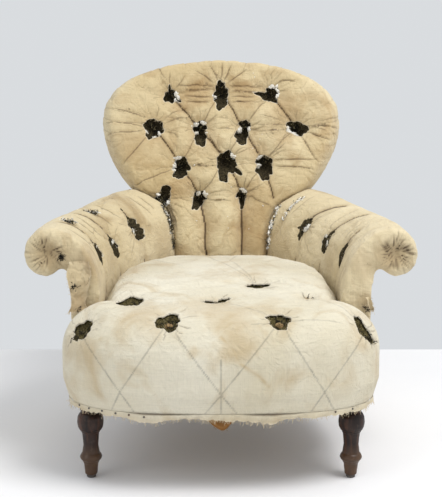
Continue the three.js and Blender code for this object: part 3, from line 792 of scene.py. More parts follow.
def tone(red, green, blue):
    """A colour given as it looks on a screen, 0 to 255, as the shader needs it."""
    linear = []
    for part in (red, green, blue):
        share = part / 255
        linear.append(share / 12.92 if share <= 0.04045 else ((share + 0.055) / 1.055) ** 2.4)
    return (*linear, 1.0)


class Graph:
    """A material's nodes, made one call at a time."""

    def __init__(self, name, rough, **settings):
        self.material = bpy.data.materials.new(name)
        self.material.use_nodes = True
        self.tree = self.material.node_tree
        self.shader = self.tree.nodes["Principled BSDF"]
        self.shader.inputs["Roughness"].default_value = rough
        for key, value in settings.items():
            self.shader.inputs[key.replace("_", " ")].default_value = value

    def node(self, kind, **settings):
        made = self.tree.nodes.new("ShaderNode" + kind)
        for key, value in settings.items():
            setattr(made, key, value)
        return made

    def feed(self, socket, value):
        """Links a socket to another, or sets it to a value."""
        if isinstance(value, bpy.types.NodeSocket):
            self.tree.links.new(value, socket)
        else:
            socket.default_value = value

    def place(self, stretch=(1, 1, 1), turn=(0, 0, 0)):
        mapping = self.node("Mapping")
        mapping.inputs["Scale"].default_value = stretch
        mapping.inputs["Rotation"].default_value = turn
        self.feed(mapping.inputs["Vector"], self.node("TexCoord").outputs["Object"])
        return mapping.outputs["Vector"]

    def noise(self, scale, detail=4.0, stretch=(1, 1, 1), turn=(0, 0, 0), distortion=0.0):
        made = self.node("TexNoise")
        self.feed(made.inputs["Vector"], self.place(stretch, turn))
        made.inputs["Scale"].default_value = scale
        made.inputs["Detail"].default_value = detail
        made.inputs["Distortion"].default_value = distortion
        return made.outputs["Fac"]

    def weave(self, threads, direction, turn=(0, 0, 0)):
        made = self.node("TexWave", wave_type="BANDS", bands_direction=direction)
        self.feed(made.inputs["Vector"], self.place(turn=turn))
        made.inputs["Scale"].default_value = threads
        made.inputs["Distortion"].default_value = 1.2
        made.inputs["Detail"].default_value = 2.0
        made.inputs["Detail Scale"].default_value = 3.0
        return made.outputs["Fac"]

    def mark(self, name):
        return self.node("Attribute", attribute_name=name).outputs["Fac"]

    def span(self, value, low, high, to_low=0.0, to_high=1.0):
        """The value moved from one range to another, and kept inside it."""
        made = self.node("MapRange")
        self.feed(made.inputs["Value"], value)
        for key, number in (("From Min", low), ("From Max", high), ("To Min", to_low), ("To Max", to_high)):
            made.inputs[key].default_value = number
        return made.outputs["Result"]

    def sum(self, first, second, operation="ADD"):
        made = self.node("Math", operation=operation)
        self.feed(made.inputs[0], first)
        self.feed(made.inputs[1], second)
        return made.outputs["Value"]

    def mix(self, share, first, second, blend="MIX"):
        made = self.node("Mix", data_type="RGBA", blend_type=blend)
        first_colour, second_colour = made.inputs[6:8]
        self.feed(made.inputs["Factor"], share)
        self.feed(first_colour, first)
        self.feed(second_colour, second)
        return made.outputs[2]

    def colour(self, value):
        self.feed(self.shader.inputs["Base Color"], value)

    def bump(self, height, distance, strength=1.0):
        made = self.node("Bump")
        made.inputs["Distance"].default_value = distance
        made.inputs["Strength"].default_value = strength
        self.feed(made.inputs["Height"], height)
        self.feed(self.shader.inputs["Normal"], made.outputs["Normal"])

    def steps(self, value, *stops):
        """A colour ramp through (place, colour) stops."""
        made = self.node("ValToRGB")
        ramp = made.color_ramp
        for number, (at, shade) in enumerate(stops):
            stop = ramp.elements[number] if number < 2 else ramp.elements.new(at)
            stop.position = at
            stop.color = shade
        self.feed(made.inputs["Fac"], value)
        return made.outputs["Color"]


def calico(name, light, worn, browned, freckles=0.35):
    """Old unbleached calico: uneven in tone, with slubs in both thread directions, and with painted shade:
    browner in its folds and round its holes, and dark along its creases.
    """
    g = Graph(name, 0.92, Sheen_Weight=0.2, Sheen_Roughness=0.5, Specular_IOR_Level=0.15)
    broad = g.span(g.noise(3.6, 5.0, distortion=0.6), 0.38, 0.64)
    shade = g.mix(broad, light, worn)
    patches = g.span(g.noise(9.0, 6.0, distortion=1.2), 0.50, 0.72, 0.0, 0.6)
    shade = g.mix(patches, shade, browned)
    cross = g.noise(46.0, 3.0, stretch=(0.5, 0.5, 14.0))
    down = g.noise(46.0, 3.0, stretch=(14.0, 14.0, 0.5))
    slubs = g.span(g.sum(cross, down), 0.7, 1.3, 0.93, 1.04)
    shade = g.mix(1.0, shade, slubs, "MULTIPLY")
    shade = g.mix(g.span(g.mark("soil"), 0.0, 1.0, 0.0, 0.8), shade, browned)
    # painted shade: browner round the holes, beside the folds and in the crumple valleys
    shade = g.mix(g.span(g.mark("painted_shade"), 0.05, 0.9, 0.0, 0.8), shade, browned)
    flecks = g.span(g.noise(210.0, 2.0), 0.70, 0.78, 0.0, freckles)
    shade = g.mix(flecks, shade, tone(110, 84, 52))
    # painted shade: a dark line down each crease and pleat valley
    shade = g.mix(g.span(g.mark("line"), 0.08, 0.85, 0.0, 0.92), shade, tone(66, 46, 28))
    shade = g.mix(g.span(g.mark("pencil"), 0.0, 1.0, 0.0, 0.9), shade, tone(104, 98, 88))
    shade = g.mix(g.span(g.mark("rim"), 0.3, 1.0, 0.0, 0.6), shade, tone(236, 228, 208))
    g.colour(shade)
    weave = g.sum(g.weave(420.0, "X"), g.weave(420.0, "Z"))
    threads_high = g.sum(g.sum(cross, down), g.sum(weave, 0.25, "MULTIPLY"))
    rumple = g.sum(g.noise(34.0, 8.0, distortion=2.2), 7.0, "MULTIPLY")
    g.bump(g.sum(threads_high, rumple), 0.8 * MM, 0.9)
    return g.material


def stuffing(name, dark, middle, pale):
    """Curled hair with flock in it."""
    g = Graph(name, 0.95, Specular_IOR_Level=0.1)
    curls = g.noise(230.0, 6.0, distortion=3.0)
    g.colour(g.steps(curls, (0.38, dark), (0.55, middle), (0.68, pale)))
    g.bump(curls, 3 * MM)
    return g.material


def hair():
    """Single hairs, most of them black and some olive."""
    g = Graph("hair", 0.7, Specular_IOR_Level=0.25)
    black, olive, pale = tone(14, 13, 11), tone(58, 52, 36), tone(158, 146, 108)
    g.colour(g.steps(g.mark("shade"), (0.0, black), (0.45, olive), (1.0, pale)))
    g.bump(g.noise(900.0), 0.2 * MM)
    return g.material


def wadding():
    """White cotton wadding."""
    g = Graph("wadding", 1.0, Sheen_Weight=0.4, Specular_IOR_Level=0.05)
    fluff = g.noise(300.0, 6.0, distortion=2.0)
    g.colour(g.steps(fluff, (0.35, tone(226, 218, 198)), (0.6, tone(252, 250, 244))))
    g.bump(fluff, 2 * MM)
    return g.material


def threads():
    """Frayed calico threads."""
    g = Graph("threads", 0.95)
    g.colour(g.mix(g.noise(60.0), tone(228, 216, 188), tone(196, 172, 130)))
    g.bump(g.noise(1200.0), 0.1 * MM)
    return g.material


def hessian(name, light, dark):
    """Coarse brown jute cloth with an open weave."""
    g = Graph(name, 0.95, Specular_IOR_Level=0.1)
    weave = g.sum(g.weave(170.0, "X"), g.sum(g.weave(170.0, "Z"), g.weave(170.0, "Y")))
    tint = g.mix(g.span(g.noise(14.0, 5.0), 0.35, 0.7), light, dark)
    g.colour(g.mix(g.span(weave, 0.6, 2.2, 0.0, 0.55), tint, tone(92, 62, 34)))
    g.bump(weave, 0.8 * MM)
    return g.material


def walnut():
    """Dark polished walnut, redder in its grain, browner and scuffed toward the feet."""
    g = Graph("walnut", 0.42, Coat_Weight=0.06, Coat_Roughness=0.3, Specular_IOR_Level=0.3)
    grain = g.noise(34.0, 8.0, stretch=(3.0, 3.0, 0.22), distortion=0.8)
    wood = g.steps(grain, (0.34, tone(22, 12, 9)), (0.52, tone(45, 27, 19)), (0.68, tone(76, 46, 30)))
    height = g.node("SeparateXYZ")
    g.feed(height.inputs["Vector"], g.node("TexCoord").outputs["Object"])
    low = g.span(height.outputs["Z"], 0.045, 0.075, 0.75, 0.0)
    scuffed = g.mix(g.noise(50.0, 6.0), tone(104, 78, 54), tone(60, 42, 30))
    wood = g.mix(low, wood, scuffed)
    scratches = g.span(g.noise(60.0, 6.0), 0.60, 0.74, 0.0, 0.25)
    g.colour(g.mix(scratches, wood, tone(118, 98, 80)))
    g.feed(g.shader.inputs["Roughness"], g.span(g.noise(80.0, 5.0), 0.3, 0.7, 0.28, 0.6))
    g.bump(grain, 0.4 * MM, 0.4)
    return g.material


def beech():
    """Pale sawn beech of the hidden frame."""
    g = Graph("beech", 0.7)
    grain = g.noise(30.0, 7.0, stretch=(0.4, 4.0, 4.0), distortion=0.6)
    dark, middle, pale = tone(138, 100, 62), tone(176, 138, 92), tone(196, 160, 114)
    g.colour(g.steps(grain, (0.32, dark), (0.55, middle), (0.72, pale)))
    g.bump(grain, 0.5 * MM)
    return g.material


def jute_webbing():
    """Woven jute webbing."""
    g = Graph("webbing", 0.9)
    weave = g.sum(g.weave(140.0, "X"), g.weave(140.0, "Y"))
    g.colour(g.mix(g.span(weave, 0.4, 1.6), tone(120, 96, 60), tone(176, 150, 104)))
    g.bump(weave, 0.8 * MM)
    return g.material


def steel():
    """Dull steel with rust on it."""
    g = Graph("steel", 0.5, Metallic=0.8)
    rust = g.span(g.noise(90.0, 7.0), 0.48, 0.64)
    g.colour(g.mix(rust, tone(96, 92, 88), tone(92, 58, 38)))
    g.bump(rust, 0.2 * MM)
    return g.material


def twine():
    """Laid cord."""
    g = Graph("twine", 0.9)
    lay = g.noise(160.0, 3.0, stretch=(1, 1, 3))
    g.colour(g.mix(lay, tone(168, 140, 94), tone(110, 86, 54)))
    g.bump(lay, 0.4 * MM)
    return g.material


def studio(name, shade, mottle):
    """A plain painted surface."""
    g = Graph(name, 0.85, Specular_IOR_Level=0.2)
    g.colour(g.mix(g.span(g.noise(1.6, 4.0), 0.3, 0.7, 0.0, mottle), shade, tone(206, 208, 214)))
    return g.material


CALICO_BACK = calico("calico_back", tone(222, 205, 166), tone(206, 184, 140), tone(158, 122, 74))
CALICO_ARM = calico("calico_arm", tone(226, 210, 174), tone(210, 192, 152), tone(154, 126, 84))
TORN_CALICO = calico("calico_torn", tone(226, 209, 172), tone(208, 188, 148), tone(152, 118, 78))
CALICO_SEAT = calico("calico_seat", tone(228, 221, 201), tone(214, 204, 178), tone(190, 166, 124), 0.1)
STUFFING = stuffing("stuffing", tone(20, 18, 13), tone(62, 54, 38), tone(120, 108, 78))
OLIVE_STUFFING = stuffing("olive_stuffing", tone(48, 42, 24), tone(98, 88, 56), tone(150, 138, 98))
HAIR, WADDING, THREADS = hair(), wadding(), threads()
HESSIAN = hessian("hessian", tone(190, 140, 84), tone(150, 100, 56))
WALNUT, BEECH, WEBBING, STEEL, TWINE = walnut(), beech(), jute_webbing(), steel(), twine()


def dress(piece, material, slot, body, *replaced):
    """Gives a finished piece its material and its body, and hides the CAD nodes that it stands for. The slot
    is not used.
    """
    piece.data.materials.clear()
    piece.data.materials.append(material)
    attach(piece, body)
    if replaced:
        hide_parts(*replaced)
    return piece


# ---------------------------------------------------------------- camera, light and floor

CAMERA_BACK = -2.661
FLOOR_SIZE = 6.0
FLOOR_END = 0.74  # behind the chair, where the floor meets the backdrop


def studio_round_it():
    """Camera in front, above and tipped down; soft light from above on the right; and a pale floor."""
    scene = bpy.context.scene
    camera = bpy.data.cameras.new("camera")
    camera.lens = 86.5
    camera.sensor_width = 36.0
    holder = new_piece("camera", camera)
    holder.location = (0.0, CAMERA_BACK, 0.872)
    holder.rotation_euler = (math.radians(90 - 9.55), 0, 0)
    scene.camera = holder
    scene.view_settings.view_transform = "Standard"

    world = bpy.data.worlds.new("room")
    world.use_nodes = True
    world.node_tree.nodes["Background"].inputs["Color"].default_value = (0.94, 0.97, 1.0, 1.0)
    world.node_tree.nodes["Background"].inputs["Strength"].default_value = 0.74
    scene.world = world

    for name, place, size, power in (
        ("key", (1.3, -1.1, 3.0), 1.5, 74.0),
        ("fill", (-2.2, -1.8, 1.5), 2.0, 11.0),
    ):
        light = bpy.data.lights.new(name, "AREA")
        light.size = size
        light.energy = power
        lamp = new_piece(name, light)
        lamp.location = place
        aim = Vector((0, 0, 0.4)) - Vector(place)
        lamp.rotation_euler = aim.to_track_quat("-Z", "Y").to_euler()

    corners = [(-FLOOR_SIZE, -FLOOR_SIZE, 0), (FLOOR_SIZE, -FLOOR_SIZE, 0), (FLOOR_SIZE, FLOOR_END, 0)]
    corners.append((-FLOOR_SIZE, FLOOR_END, 0))
    floor = piece_of("floor", corners, [(0, 1, 2, 3)])
    floor.data.materials.append(studio("floor", tone(240, 239, 239), 0.15))


studio_round_it()


# ---------------------------------------------------------------- the back

# Button places on the back: how far across, as a share of half its width, and how far up, as a share of
# its height above the seat. Then the torn opening's blobs and the wadding round it.
BACK_HOLES = {
    "high_left": (
        -0.418, 0.811, [(0, -2, 34, 26, 0), (-2, 15, 7, 22, 8), (16, -8, 25, 8, -20)], (-24, -10, -40),
    ),
    "high_middle": (0.0, 0.824, [(0, 16, 25, 26, 0), (0, 0, 37, 31, 0), (2, -17, 27, 22, 0)], (250,)),
    "high_right": (
        0.405, 0.820, [(4, 9, 27, 21, 0), (-2, -7, 38, 21, 0), (-26, -3, 31, 9, -6)], (80, 10, 330),
    ),
    "upper_1": (-0.555, 0.643, [(0, 0, 40, 46, 8), (6, -9, 34, 24, 0)], (235, 300)),
    "upper_2": (-0.174, 0.633, [(0, 6, 36, 26, 0), (2, -9, 31, 24, 0)], (120, 60, 260)),
    "upper_3": (0.187, 0.633, [(4, 9, 29, 26, 0), (-4, -9, 34, 24, 0)], (200, 235, 350)),
    "upper_4": (0.612, 0.639, [(0, 2, 49, 28, 0), (6, -4, 31, 22, 0)], (190, 205, 255, 285)),
    "middle_left": (-0.331, 0.441, [(2, 4, 43, 34, 0), (-2, -10, 34, 24, 0)], (200, 170, 100)),
    "middle": (0.040, 0.467, [(0, 4, 49, 36, 0), (-8, -16, 25, 28, 10), (24, -6, 29, 9, -10)], (20,)),
    "middle_right": (0.351, 0.454, [(2, 4, 40, 31, 0), (-2, -9, 34, 24, 0)], (240, 250, 130)),
    "low_1": (-0.478, 0.272, [(0, 4, 31, 29, 0), (3, -9, 27, 21, 0)], (250, 300)),
    "low_2": (-0.171, 0.278, [(0, 0, 30, 29, 0)], (10, 80, 340)),
    "low_3": (0.174, 0.285, [(0, 3, 24, 22, 0), (0, -9, 10, 21, 0)], (60,)),
}
PLAIN_BUTTON = {"low_4": (0.428, 0.274)}

# Tucks between the button places, the strong ones first
BACK_TUCKS = (
    ("high_left", "upper_2"), ("high_middle", "upper_3"), ("high_right", "upper_4"),
    ("upper_1", "middle_left"), ("upper_2", "middle"), ("upper_3", "middle_right"),
    ("middle_left", "low_2"), ("middle", "low_3"), ("middle_right", "low_4"),
)
BACK_FAINT_TUCKS = (
    ("high_middle", "upper_2"), ("high_right", "upper_3"), ("upper_2", "middle_left"),
    ("upper_4", "middle_right"), ("middle", "low_2"), ("middle_right", "low_3"), ("upper_3", "middle"),
)
# Strains in the cloth that end in it, through (across, up) shares
BACK_STRAINS = (
    ((-0.36, 0.860), (-0.20, 0.866), (-0.06, 0.858)), ((-0.31, 0.838), (-0.08, 0.842)),
    ((-0.31, 0.806), (-0.07, 0.800)), ((-0.29, 0.778), (-0.09, 0.774)),
    ((0.07, 0.856), (0.20, 0.860), (0.33, 0.850)), ((0.08, 0.832), (0.30, 0.826)),
    ((0.08, 0.800), (0.28, 0.802)), ((0.09, 0.772), (0.26, 0.778)),
    ((-0.63, 0.646), (-0.95, 0.664)), ((-0.64, 0.622), (-0.94, 0.600)), ((-0.60, 0.690), (-0.90, 0.745)),
    ((0.70, 0.648), (0.95, 0.640)), ((0.69, 0.622), (0.90, 0.575)), ((0.54, 0.652), (0.30, 0.656)),
    ((0.53, 0.628), (0.32, 0.620)), ((0.43, 0.470), (0.78, 0.474)), ((0.43, 0.440), (0.76, 0.426)),
    ((-0.44, 0.875), (-0.50, 0.940), (-0.56, 0.985)), ((0.43, 0.856), (0.50, 0.888), (0.62, 0.884)),
    ((-0.02, 0.880), (-0.10, 0.975)), ((0.0, 0.885), (0.01, 0.985)), ((0.02, 0.880), (0.09, 0.975)),
    ((-0.05, 0.870), (-0.22, 0.945)), ((0.05, 0.870), (0.22, 0.950)), ((-0.10, 0.610), (-0.02, 0.50)),
    ((0.64, 0.610), (0.80, 0.455)), ((-0.60, 0.600), (-0.80, 0.450)), ((-0.38, 0.42), (-0.72, 0.34)),
)


def on_back(surface, across, up):
    """The place on the back's front at those shares of its half width and of its height above the seat."""
    return surface.from_front(across * HALF_BACK, SEAT_TOP + up * (BACK_HIGH.z - SEAT_TOP))


def back_holes(surface):
    """The thirteen torn button places of the back."""
    return [
        Hole(on_back(surface, across, up), blobs, wads, 20 * MM, 54 * MM)
        for across, up, blobs, wads in BACK_HOLES.values()
    ]


def rim_creases(surface):
    """Creases where the cover is pulled over the rim of the back."""
    chance = np.random.default_rng(72)
    made = []
    middle_up = 0.60
    for number in range(30):
        turn = math.radians(-38 + 256 * (number + chance.uniform(0, 0.7)) / 30)
        inner = chance.uniform(0.74, 0.86)
        stops = []
        for reach in (inner, 0.93, 1.06):
            across = reach * math.cos(turn)
            up = middle_up + (1.01 - middle_up) * reach * math.sin(turn)
            stops.append(on_back(surface, across, up))
        made.append(fold(stops, chance.uniform(0.8, 2.2), 6, 1.0, chance.uniform(0.1, 0.4), True))
    return made


def back_folds(surface, openings):
    """Tucks from button to button, strains round them, and the upright channels down to the seat."""
    buttons = {name: opening.centre for name, opening in zip(BACK_HOLES, openings)}
    for name, (across, up) in PLAIN_BUTTON.items():
        buttons[name] = on_back(surface, across, up)
    folds = [fold((buttons[a], buttons[b]), 5.0, 9, 1.8, 0.95) for a, b in BACK_TUCKS]
    folds += [fold((buttons[a], buttons[b]), 2.6, 8, 0.9, 0.55) for a, b in BACK_FAINT_TUCKS]
    for places in BACK_STRAINS:
        stops = [on_back(surface, across, up) for across, up in places]
        folds.append(fold(stops, 2.4, 6, 1.3, 0.65, open_ends=True))
    folds += strains_round(surface, openings, 17, 0.085, 71)
    folds += rim_creases(surface)
    foot = -0.10
    for name, across in (("low_2", -0.127), ("low_3", 0.174)):
        stops = (buttons[name], on_back(surface, across, 0.10), on_back(surface, across, foot))
        folds.append(fold(stops, 13, 13, 0.5, 1.0))
    return folds


def make_back():
    """The torn cover over the stuffing of the back."""
    base = relax(one_skin("back", ["back_pad", "back_cover"], COARSE), 5)

    def pinned(points):
        return outward(base)[:, 1] > 0.2

    torn = torn_cover("back", base, back_holes, back_folds, pinned)
    dress(torn.piece, CALICO_BACK, "back_calico", "frame", "back_cover")
    dress(torn.padding, STUFFING, "stuffing", "frame", "back_pad")
    fill_holes("back", torn, 11, "back_calico", "frame")
    return torn


# ---------------------------------------------------------------- the arms

# Places on an arm: metres behind its front and above the seat's crown, then blobs and wadding angles
ARM_HOLES = {
    "left": (
        (0.345, 0.064, [(-8, 10, 34, 30, 0), (6, -6, 44, 28, -20), (4, -18, 18, 16, 0)], (200,)),
        (0.249, 0.042, [(0, 3, 38, 9, 0), (2, -2, 18, 7, 0)], (100, 330)),
        (0.136, 0.050, [(0, 3, 54, 15, -20), (8, -5, 18, 12, 10)], (60,)),
    ),
    "right": (
        (0.351, 0.070, [(0, -2, 30, 18, 0), (10, 10, 8, 18, -35)], (300, 320, 280, 260)),
        (0.262, 0.049, [(0, 5, 34, 18, 0), (-3, -6, 28, 15, 0)], (290, 100)),
        (0.138, 0.042, [(0, 3, 18, 8, 0), (0, -8, 7, 18, 0)], (250, 290)),
    ),
}
# Creases over the crest of each arm: places as (across, back, up), with across outward on that side
CREST_CREASES = {
    "left": (
        ((0.262, 0.150, 0.500), (0.225, 0.130, 0.482), (0.196, 0.127, 0.462)),
        ((0.333, 0.020, 0.512), (0.285, 0.010, 0.492), (0.245, 0.020, 0.440)),
        ((0.350, -0.110, 0.500), (0.300, -0.100, 0.482), (0.266, -0.085, 0.450)),
    ),
    "right": (
        ((0.200, 0.130, 0.475), (0.235, 0.120, 0.500), (0.290, 0.110, 0.515)),
        ((0.240, 0.040, 0.455), (0.275, 0.020, 0.487), (0.330, 0.000, 0.510)),
        ((0.262, -0.080, 0.440), (0.275, -0.085, 0.465), (0.300, -0.090, 0.480)),
    ),
}
# Fainter strains over both arms' crests, written in the same way
ARM_STRAINS = (
    ((0.235, 0.200, 0.515), (0.200, 0.190, 0.500), (0.165, 0.185, 0.470)),
    ((0.270, 0.170, 0.512), (0.238, 0.168, 0.500), (0.205, 0.160, 0.480)),
    ((0.205, 0.215, 0.515), (0.185, 0.208, 0.503), (0.160, 0.200, 0.485)),
    ((0.300, 0.110, 0.508), (0.270, 0.100, 0.495), (0.235, 0.105, 0.475)),
    ((0.318, 0.060, 0.506), (0.285, 0.055, 0.490), (0.250, 0.060, 0.460)),
    ((0.325, -0.020, 0.505), (0.290, -0.030, 0.485), (0.262, -0.025, 0.455)),
    ((0.345, -0.060, 0.503), (0.300, -0.058, 0.483), (0.268, -0.050, 0.445)),
    ((0.330, -0.170, 0.500), (0.290, -0.150, 0.475), (0.262, -0.120, 0.430)),
)


def on_arm(surface, side, behind, above):
    """The place on an arm's inner face, so far behind its front and above the seat's crown."""
    return surface.from_middle(SIDES[side], ARM_LOW.y + behind, SEAT_TOP + above)


def make_arm(side):
    """One scroll arm: torn cover, gathered scroll front, and the stuffing under it."""

    def holes(surface):
        return [
            Hole(on_arm(surface, side, behind, above), blobs, wads, 9 * MM, 46 * MM)
            for behind, above, blobs, wads in ARM_HOLES[side]
        ]

    def over_crest(surface, stops):
        return [surface.near((SIDES[side] * across, back, up))[0] for across, back, up in stops]

    def folds_on(surface, openings):
        folds = []
        for opening, (behind, _, _, _) in zip(openings, ARM_HOLES[side]):
            stops = (opening.centre, on_arm(surface, side, behind, -0.045))
            folds.append(fold(stops, 3.5, 8, 0.8, 0.9))
        folds += strains_round(surface, openings, 13, 0.080, 73)
        folds += [fold(over_crest(surface, stops), 3.5, 8, 1.5, 0.9) for stops in CREST_CREASES[side]]
        folds += [fold(over_crest(surface, stops), 2.4, 6, 1.2, 0.5, open_ends=True) for stops in ARM_STRAINS]
        return folds

    def scroll_front(points):
        """How far each point is from the scroll's middle, at what angle, and whether it is on its front."""
        offset = points[:, [0, 2]] - np.array((SIDES[side] * SCROLL.x, SCROLL.z))
        front = np.clip((FACING_LOW.y + 0.030 - points[:, 1]) / 0.030, 0, 1)
        return np.hypot(*offset.T), np.arctan2(offset[:, 1], offset[:, 0]), front

    def round_front(piece):
        """Rounds the scroll's front and draws it in at its middle."""
        points = points_of(piece)
        away, _, front = scroll_front(points)
        drawn_in = 13 * MM * np.exp(-(away / 0.022) ** 2)
        rounded = 5 * MM * np.clip((away - 0.030) / 0.022, 0, 1) ** 2
        points[:, 1] += front * np.where(away < 0.075, drawn_in + rounded, 0)
        move_points(piece, points)

    def pleat_front(piece):
        """Gathers the cloth on the scroll's front into fine pleats round its middle."""
        points = points_of(piece)
        away, angle, front = scroll_front(points)
        twist = angle + 0.35 * np.sin(3 * angle + 1 + SIDES[side]) + 7 * (away - 0.02)
        pleats = np.abs(np.sin(7.5 * twist)) + 0.7 * np.abs(np.sin(11 * angle + 2 + SIDES[side])) - 0.9
        reach = 0.024 + 0.012 * np.sin(2 * angle + 1.5) * np.sin(3 * angle + SIDES[side])
        fade = np.exp(-(np.clip(away - 0.012, 0, 1) / reach) ** 2) * np.clip(away / 0.008, 0, 1)
        points[:, 1] -= front * 4.2 * MM * pleats * fade
        move_points(piece, points)
        # painted shade: dark lines in the pleat valleys, and browner shade toward the drawn-in middle
        valleys = np.clip(0.30 - pleats, 0, 1) * 1.5
        add_mark(piece, "line", 0.9 * front * valleys * fade)
        add_mark(piece, "painted_shade", 0.9 * front * np.exp(-(away / 0.030) ** 2))

    nodes = [f"{kind}_{side}" for kind in ("arm_pad", "arm_cover", "arm_front_pad", "arm_facing_board")]
    base = relax(one_skin(f"arm_{side}", nodes, COARSE), 6)
    round_front(base)

    def pinned(points):
        below_seat = points[:, 2] < SEAT_TOP - 0.03
        outer_face = outward(base)[:, 0] * SIDES[side] > 0.3
        return below_seat | outer_face | (points[:, 1] < FACING_LOW.y + 0.03)

    torn = torn_cover(f"arm_{side}", base, holes, folds_on, pinned, 6 * MM)
    pleat_front(torn.piece)
    dress(torn.piece, CALICO_ARM, "back_calico", "frame", f"arm_cover_{side}", f"arm_front_pad_{side}")
    dress(torn.padding, STUFFING, "stuffing", "frame", f"arm_pad_{side}")
    fill_holes(f"arm_{side}", torn, 31 + 5 * SIDES[side], "back_calico", "frame")
    return torn


# ---------------------------------------------------------------- the seat

# Places on the seat: (across, back) in metres from the seat's middle front, blobs, wadding, press, reach
SEAT_HOLES = (
    (0.079, 0.272, [(-8, 0, 40, 34, 0), (14, 8, 30, 20, 25)], (), 10, 46),
    (-0.010, 0.165, [(-10, -2, 44, 22, 0), (16, 5, 30, 22, 30)], (), 8, 42),
    (-0.188, 0.168, [(0, 4, 54, 58, 0), (16, 8, 26, 30, 0)], (), 13, 56),
    (0.179, 0.193, [(0, 0, 8, 10, 0)], (), 7, 36),
    (-0.104, 0.060, [(0, 0, 52, 54, 0)], (), 9, 48),
    (0.114, 0.062, [(0, 0, 50, 50, 0)], (), 9, 48),
    (-0.280, 0.100, [(0, 4, 50, 46, 0), (14, -8, 26, 26, 0)], (), 16, 60),
    (0.287, 0.106, [(0, 8, 38, 54, 10), (12, -10, 36, 26, 0)], (), 16, 60),
)
SEAT_WASHERS = (4, 5)  # numbers of the two round holes above


def make_seat():
    """The torn seat cover from its crown down to the hem, over the seat's stuffing."""

    def holes(surface):
        return [
            Hole(surface.from_above(across, SEAT_LOW.y + back), blobs, wads, press * MM, reach * MM)
            for across, back, blobs, wads, press, reach in SEAT_HOLES
        ]

    def folds_on(surface, openings):
        return strains_round(surface, openings, 9, 0.045, 74)

    nodes = ["seat_pad", "seat_cover", "seat_border"]
    filling = [("seat_pad", 1.0, 0.018), ("seat_pad", 1.0, 0.036)]
    filling += [("seat_border", share, 0.0) for share in (0.985, 0.97, 0.955)]
    base = relax(one_skin("seat", nodes, COARSE, filling), 5)

    def pinned(points):
        return points[:, 2] < BORDER_HIGH.z

    torn = torn_cover("seat", base, holes, folds_on, pinned, 6 * MM, slack=0.4)
    trim_below(torn.padding, BORDER_HIGH.z)
    dressings = ((torn.piece, CALICO_SEAT, "seat_calico"), (torn.padding, OLIVE_STUFFING, "stuffing"))
    for piece, material, slot in dressings:
        piece.data.materials.append(material)
        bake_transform(piece)
    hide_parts("seat_cover", "seat_border")
    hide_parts("seat_pad")
    fill_holes("seat", torn, 51, "seat_calico", "seat")
    return torn


def make_washers(seat):
    """The pale button washers left on the stuffing in the seat's two round holes."""
    washers = Pile(57)
    radius = 9 * MM
    for number in SEAT_WASHERS:
        opening = seat.openings[number]
        place, out = Surface(seat.padding).near(opening.floor - opening.out * STUFFING_GAP)
        washers.stud(place + out * 3 * MM, out, radius)
    dress(washers.piece("seat_washers"), TWINE, "twine", "seat")


# ---------------------------------------------------------------- marks on the cloth

def pencil_the_seat(seat):
    """The pencilled diamond grid that set out the buttons, from the holes down to the hem."""
    surface = Surface(seat.piece)
    holes = [opening.centre for opening in seat.openings]
    slit, thin_slit, _, pucker, left_round, right_round, left_side, right_side = holes
    hem = BORDER_LOW.z + 12 * MM
    cross = hem + 0.039

    def front(across, up):
        return surface.from_front(across, up)

    left_cross, middle_cross, right_cross = (front(across, cross) for across in (-0.198, 0, 0.203))
    lines = [
        (left_side, left_cross, front(-0.172, hem)),
        (left_round, left_cross, front(-0.215, hem)),
        (left_round, middle_cross, front(0.030, hem)),
        (right_round, middle_cross, front(-0.030, hem)),
        (right_round, right_cross, front(0.222, hem)),
        (right_side, right_cross, front(0.178, hem)),
        (front(0, cross + 0.07), middle_cross, front(0, hem)),
    ]
    draw_lines(seat.piece, lines, "pencil", 0.62, 1.1 * MM)
    back_y = SEAT_HIGH.y - 0.02
    above = surface.from_above
    faint = [
        (above(-0.045, back_y), above(-0.015, back_y - 0.12), slit),
        (above(0.045, back_y), above(0.020, back_y - 0.13), slit),
        (above(-0.160, back_y - 0.10), above(-0.09, back_y - 0.19)),
        (above(0.060, SEAT_LOW.y + 0.045), above(0.24, SEAT_LOW.y + 0.075)),
        (pucker, right_side),
        (thin_slit, right_round),
    ]
    draw_lines(seat.piece, faint, "pencil", 0.40, 1.1 * MM, Vector((0, 0.3, -1)))


def stain_the_seat(seat):
    """Yellow-brown water stains with a darker tide line on the seat's front."""
    surface = Surface(seat.piece)
    above, front = surface.from_above, surface.from_front
    spots = [
        (above(-0.03, SEAT_LOW.y + 0.12), 0.085, 0.42),
        (above(0.02, SEAT_LOW.y + 0.07), 0.070, 0.40),
        (above(-0.16, SEAT_LOW.y + 0.09), 0.060, 0.32),
        (above(0.0, SEAT_LOW.y + 0.33), 0.060, 0.25),
        (front(0.030, 0.300), 0.045, 0.50),
        (front(-0.055, 0.290), 0.016, 0.55),
        (front(-0.245, 0.265), 0.035, 0.35),
        (front(0.245, 0.215), 0.030, 0.20),
    ]
    soil(seat.piece, spots, 91)
    edge = ((0.0, 0.318), (0.024, 0.296), (0.036, 0.272), (0.075, 0.245), (0.092, 0.225))
    tide = [front(across, up) for across, up in edge]
    draw_lines(seat.piece, [tide], "soil", 0.9, 4 * MM)


def brown_the_back(back):
    """Browner patches between the top buttons and down the right-hand channels."""
    surface = back.surface
    spots = [
        (on_back(surface, across, up), reach, strength)
        for across, up, reach, strength in (
            (-0.20, 0.82, 0.055, 0.55), (0.20, 0.82, 0.055, 0.50), (0.55, 0.72, 0.060, 0.30),
            (0.28, 0.52, 0.045, 0.40), (0.27, 0.18, 0.050, 0.50), (0.30, 0.05, 0.050, 0.45),
            (-0.75, 0.55, 0.060, 0.25), (-0.05, 0.13, 0.030, 0.30), (0.02, 0.40, 0.030, 0.25),
        )
    ]
    soil(back.piece, spots, 93)


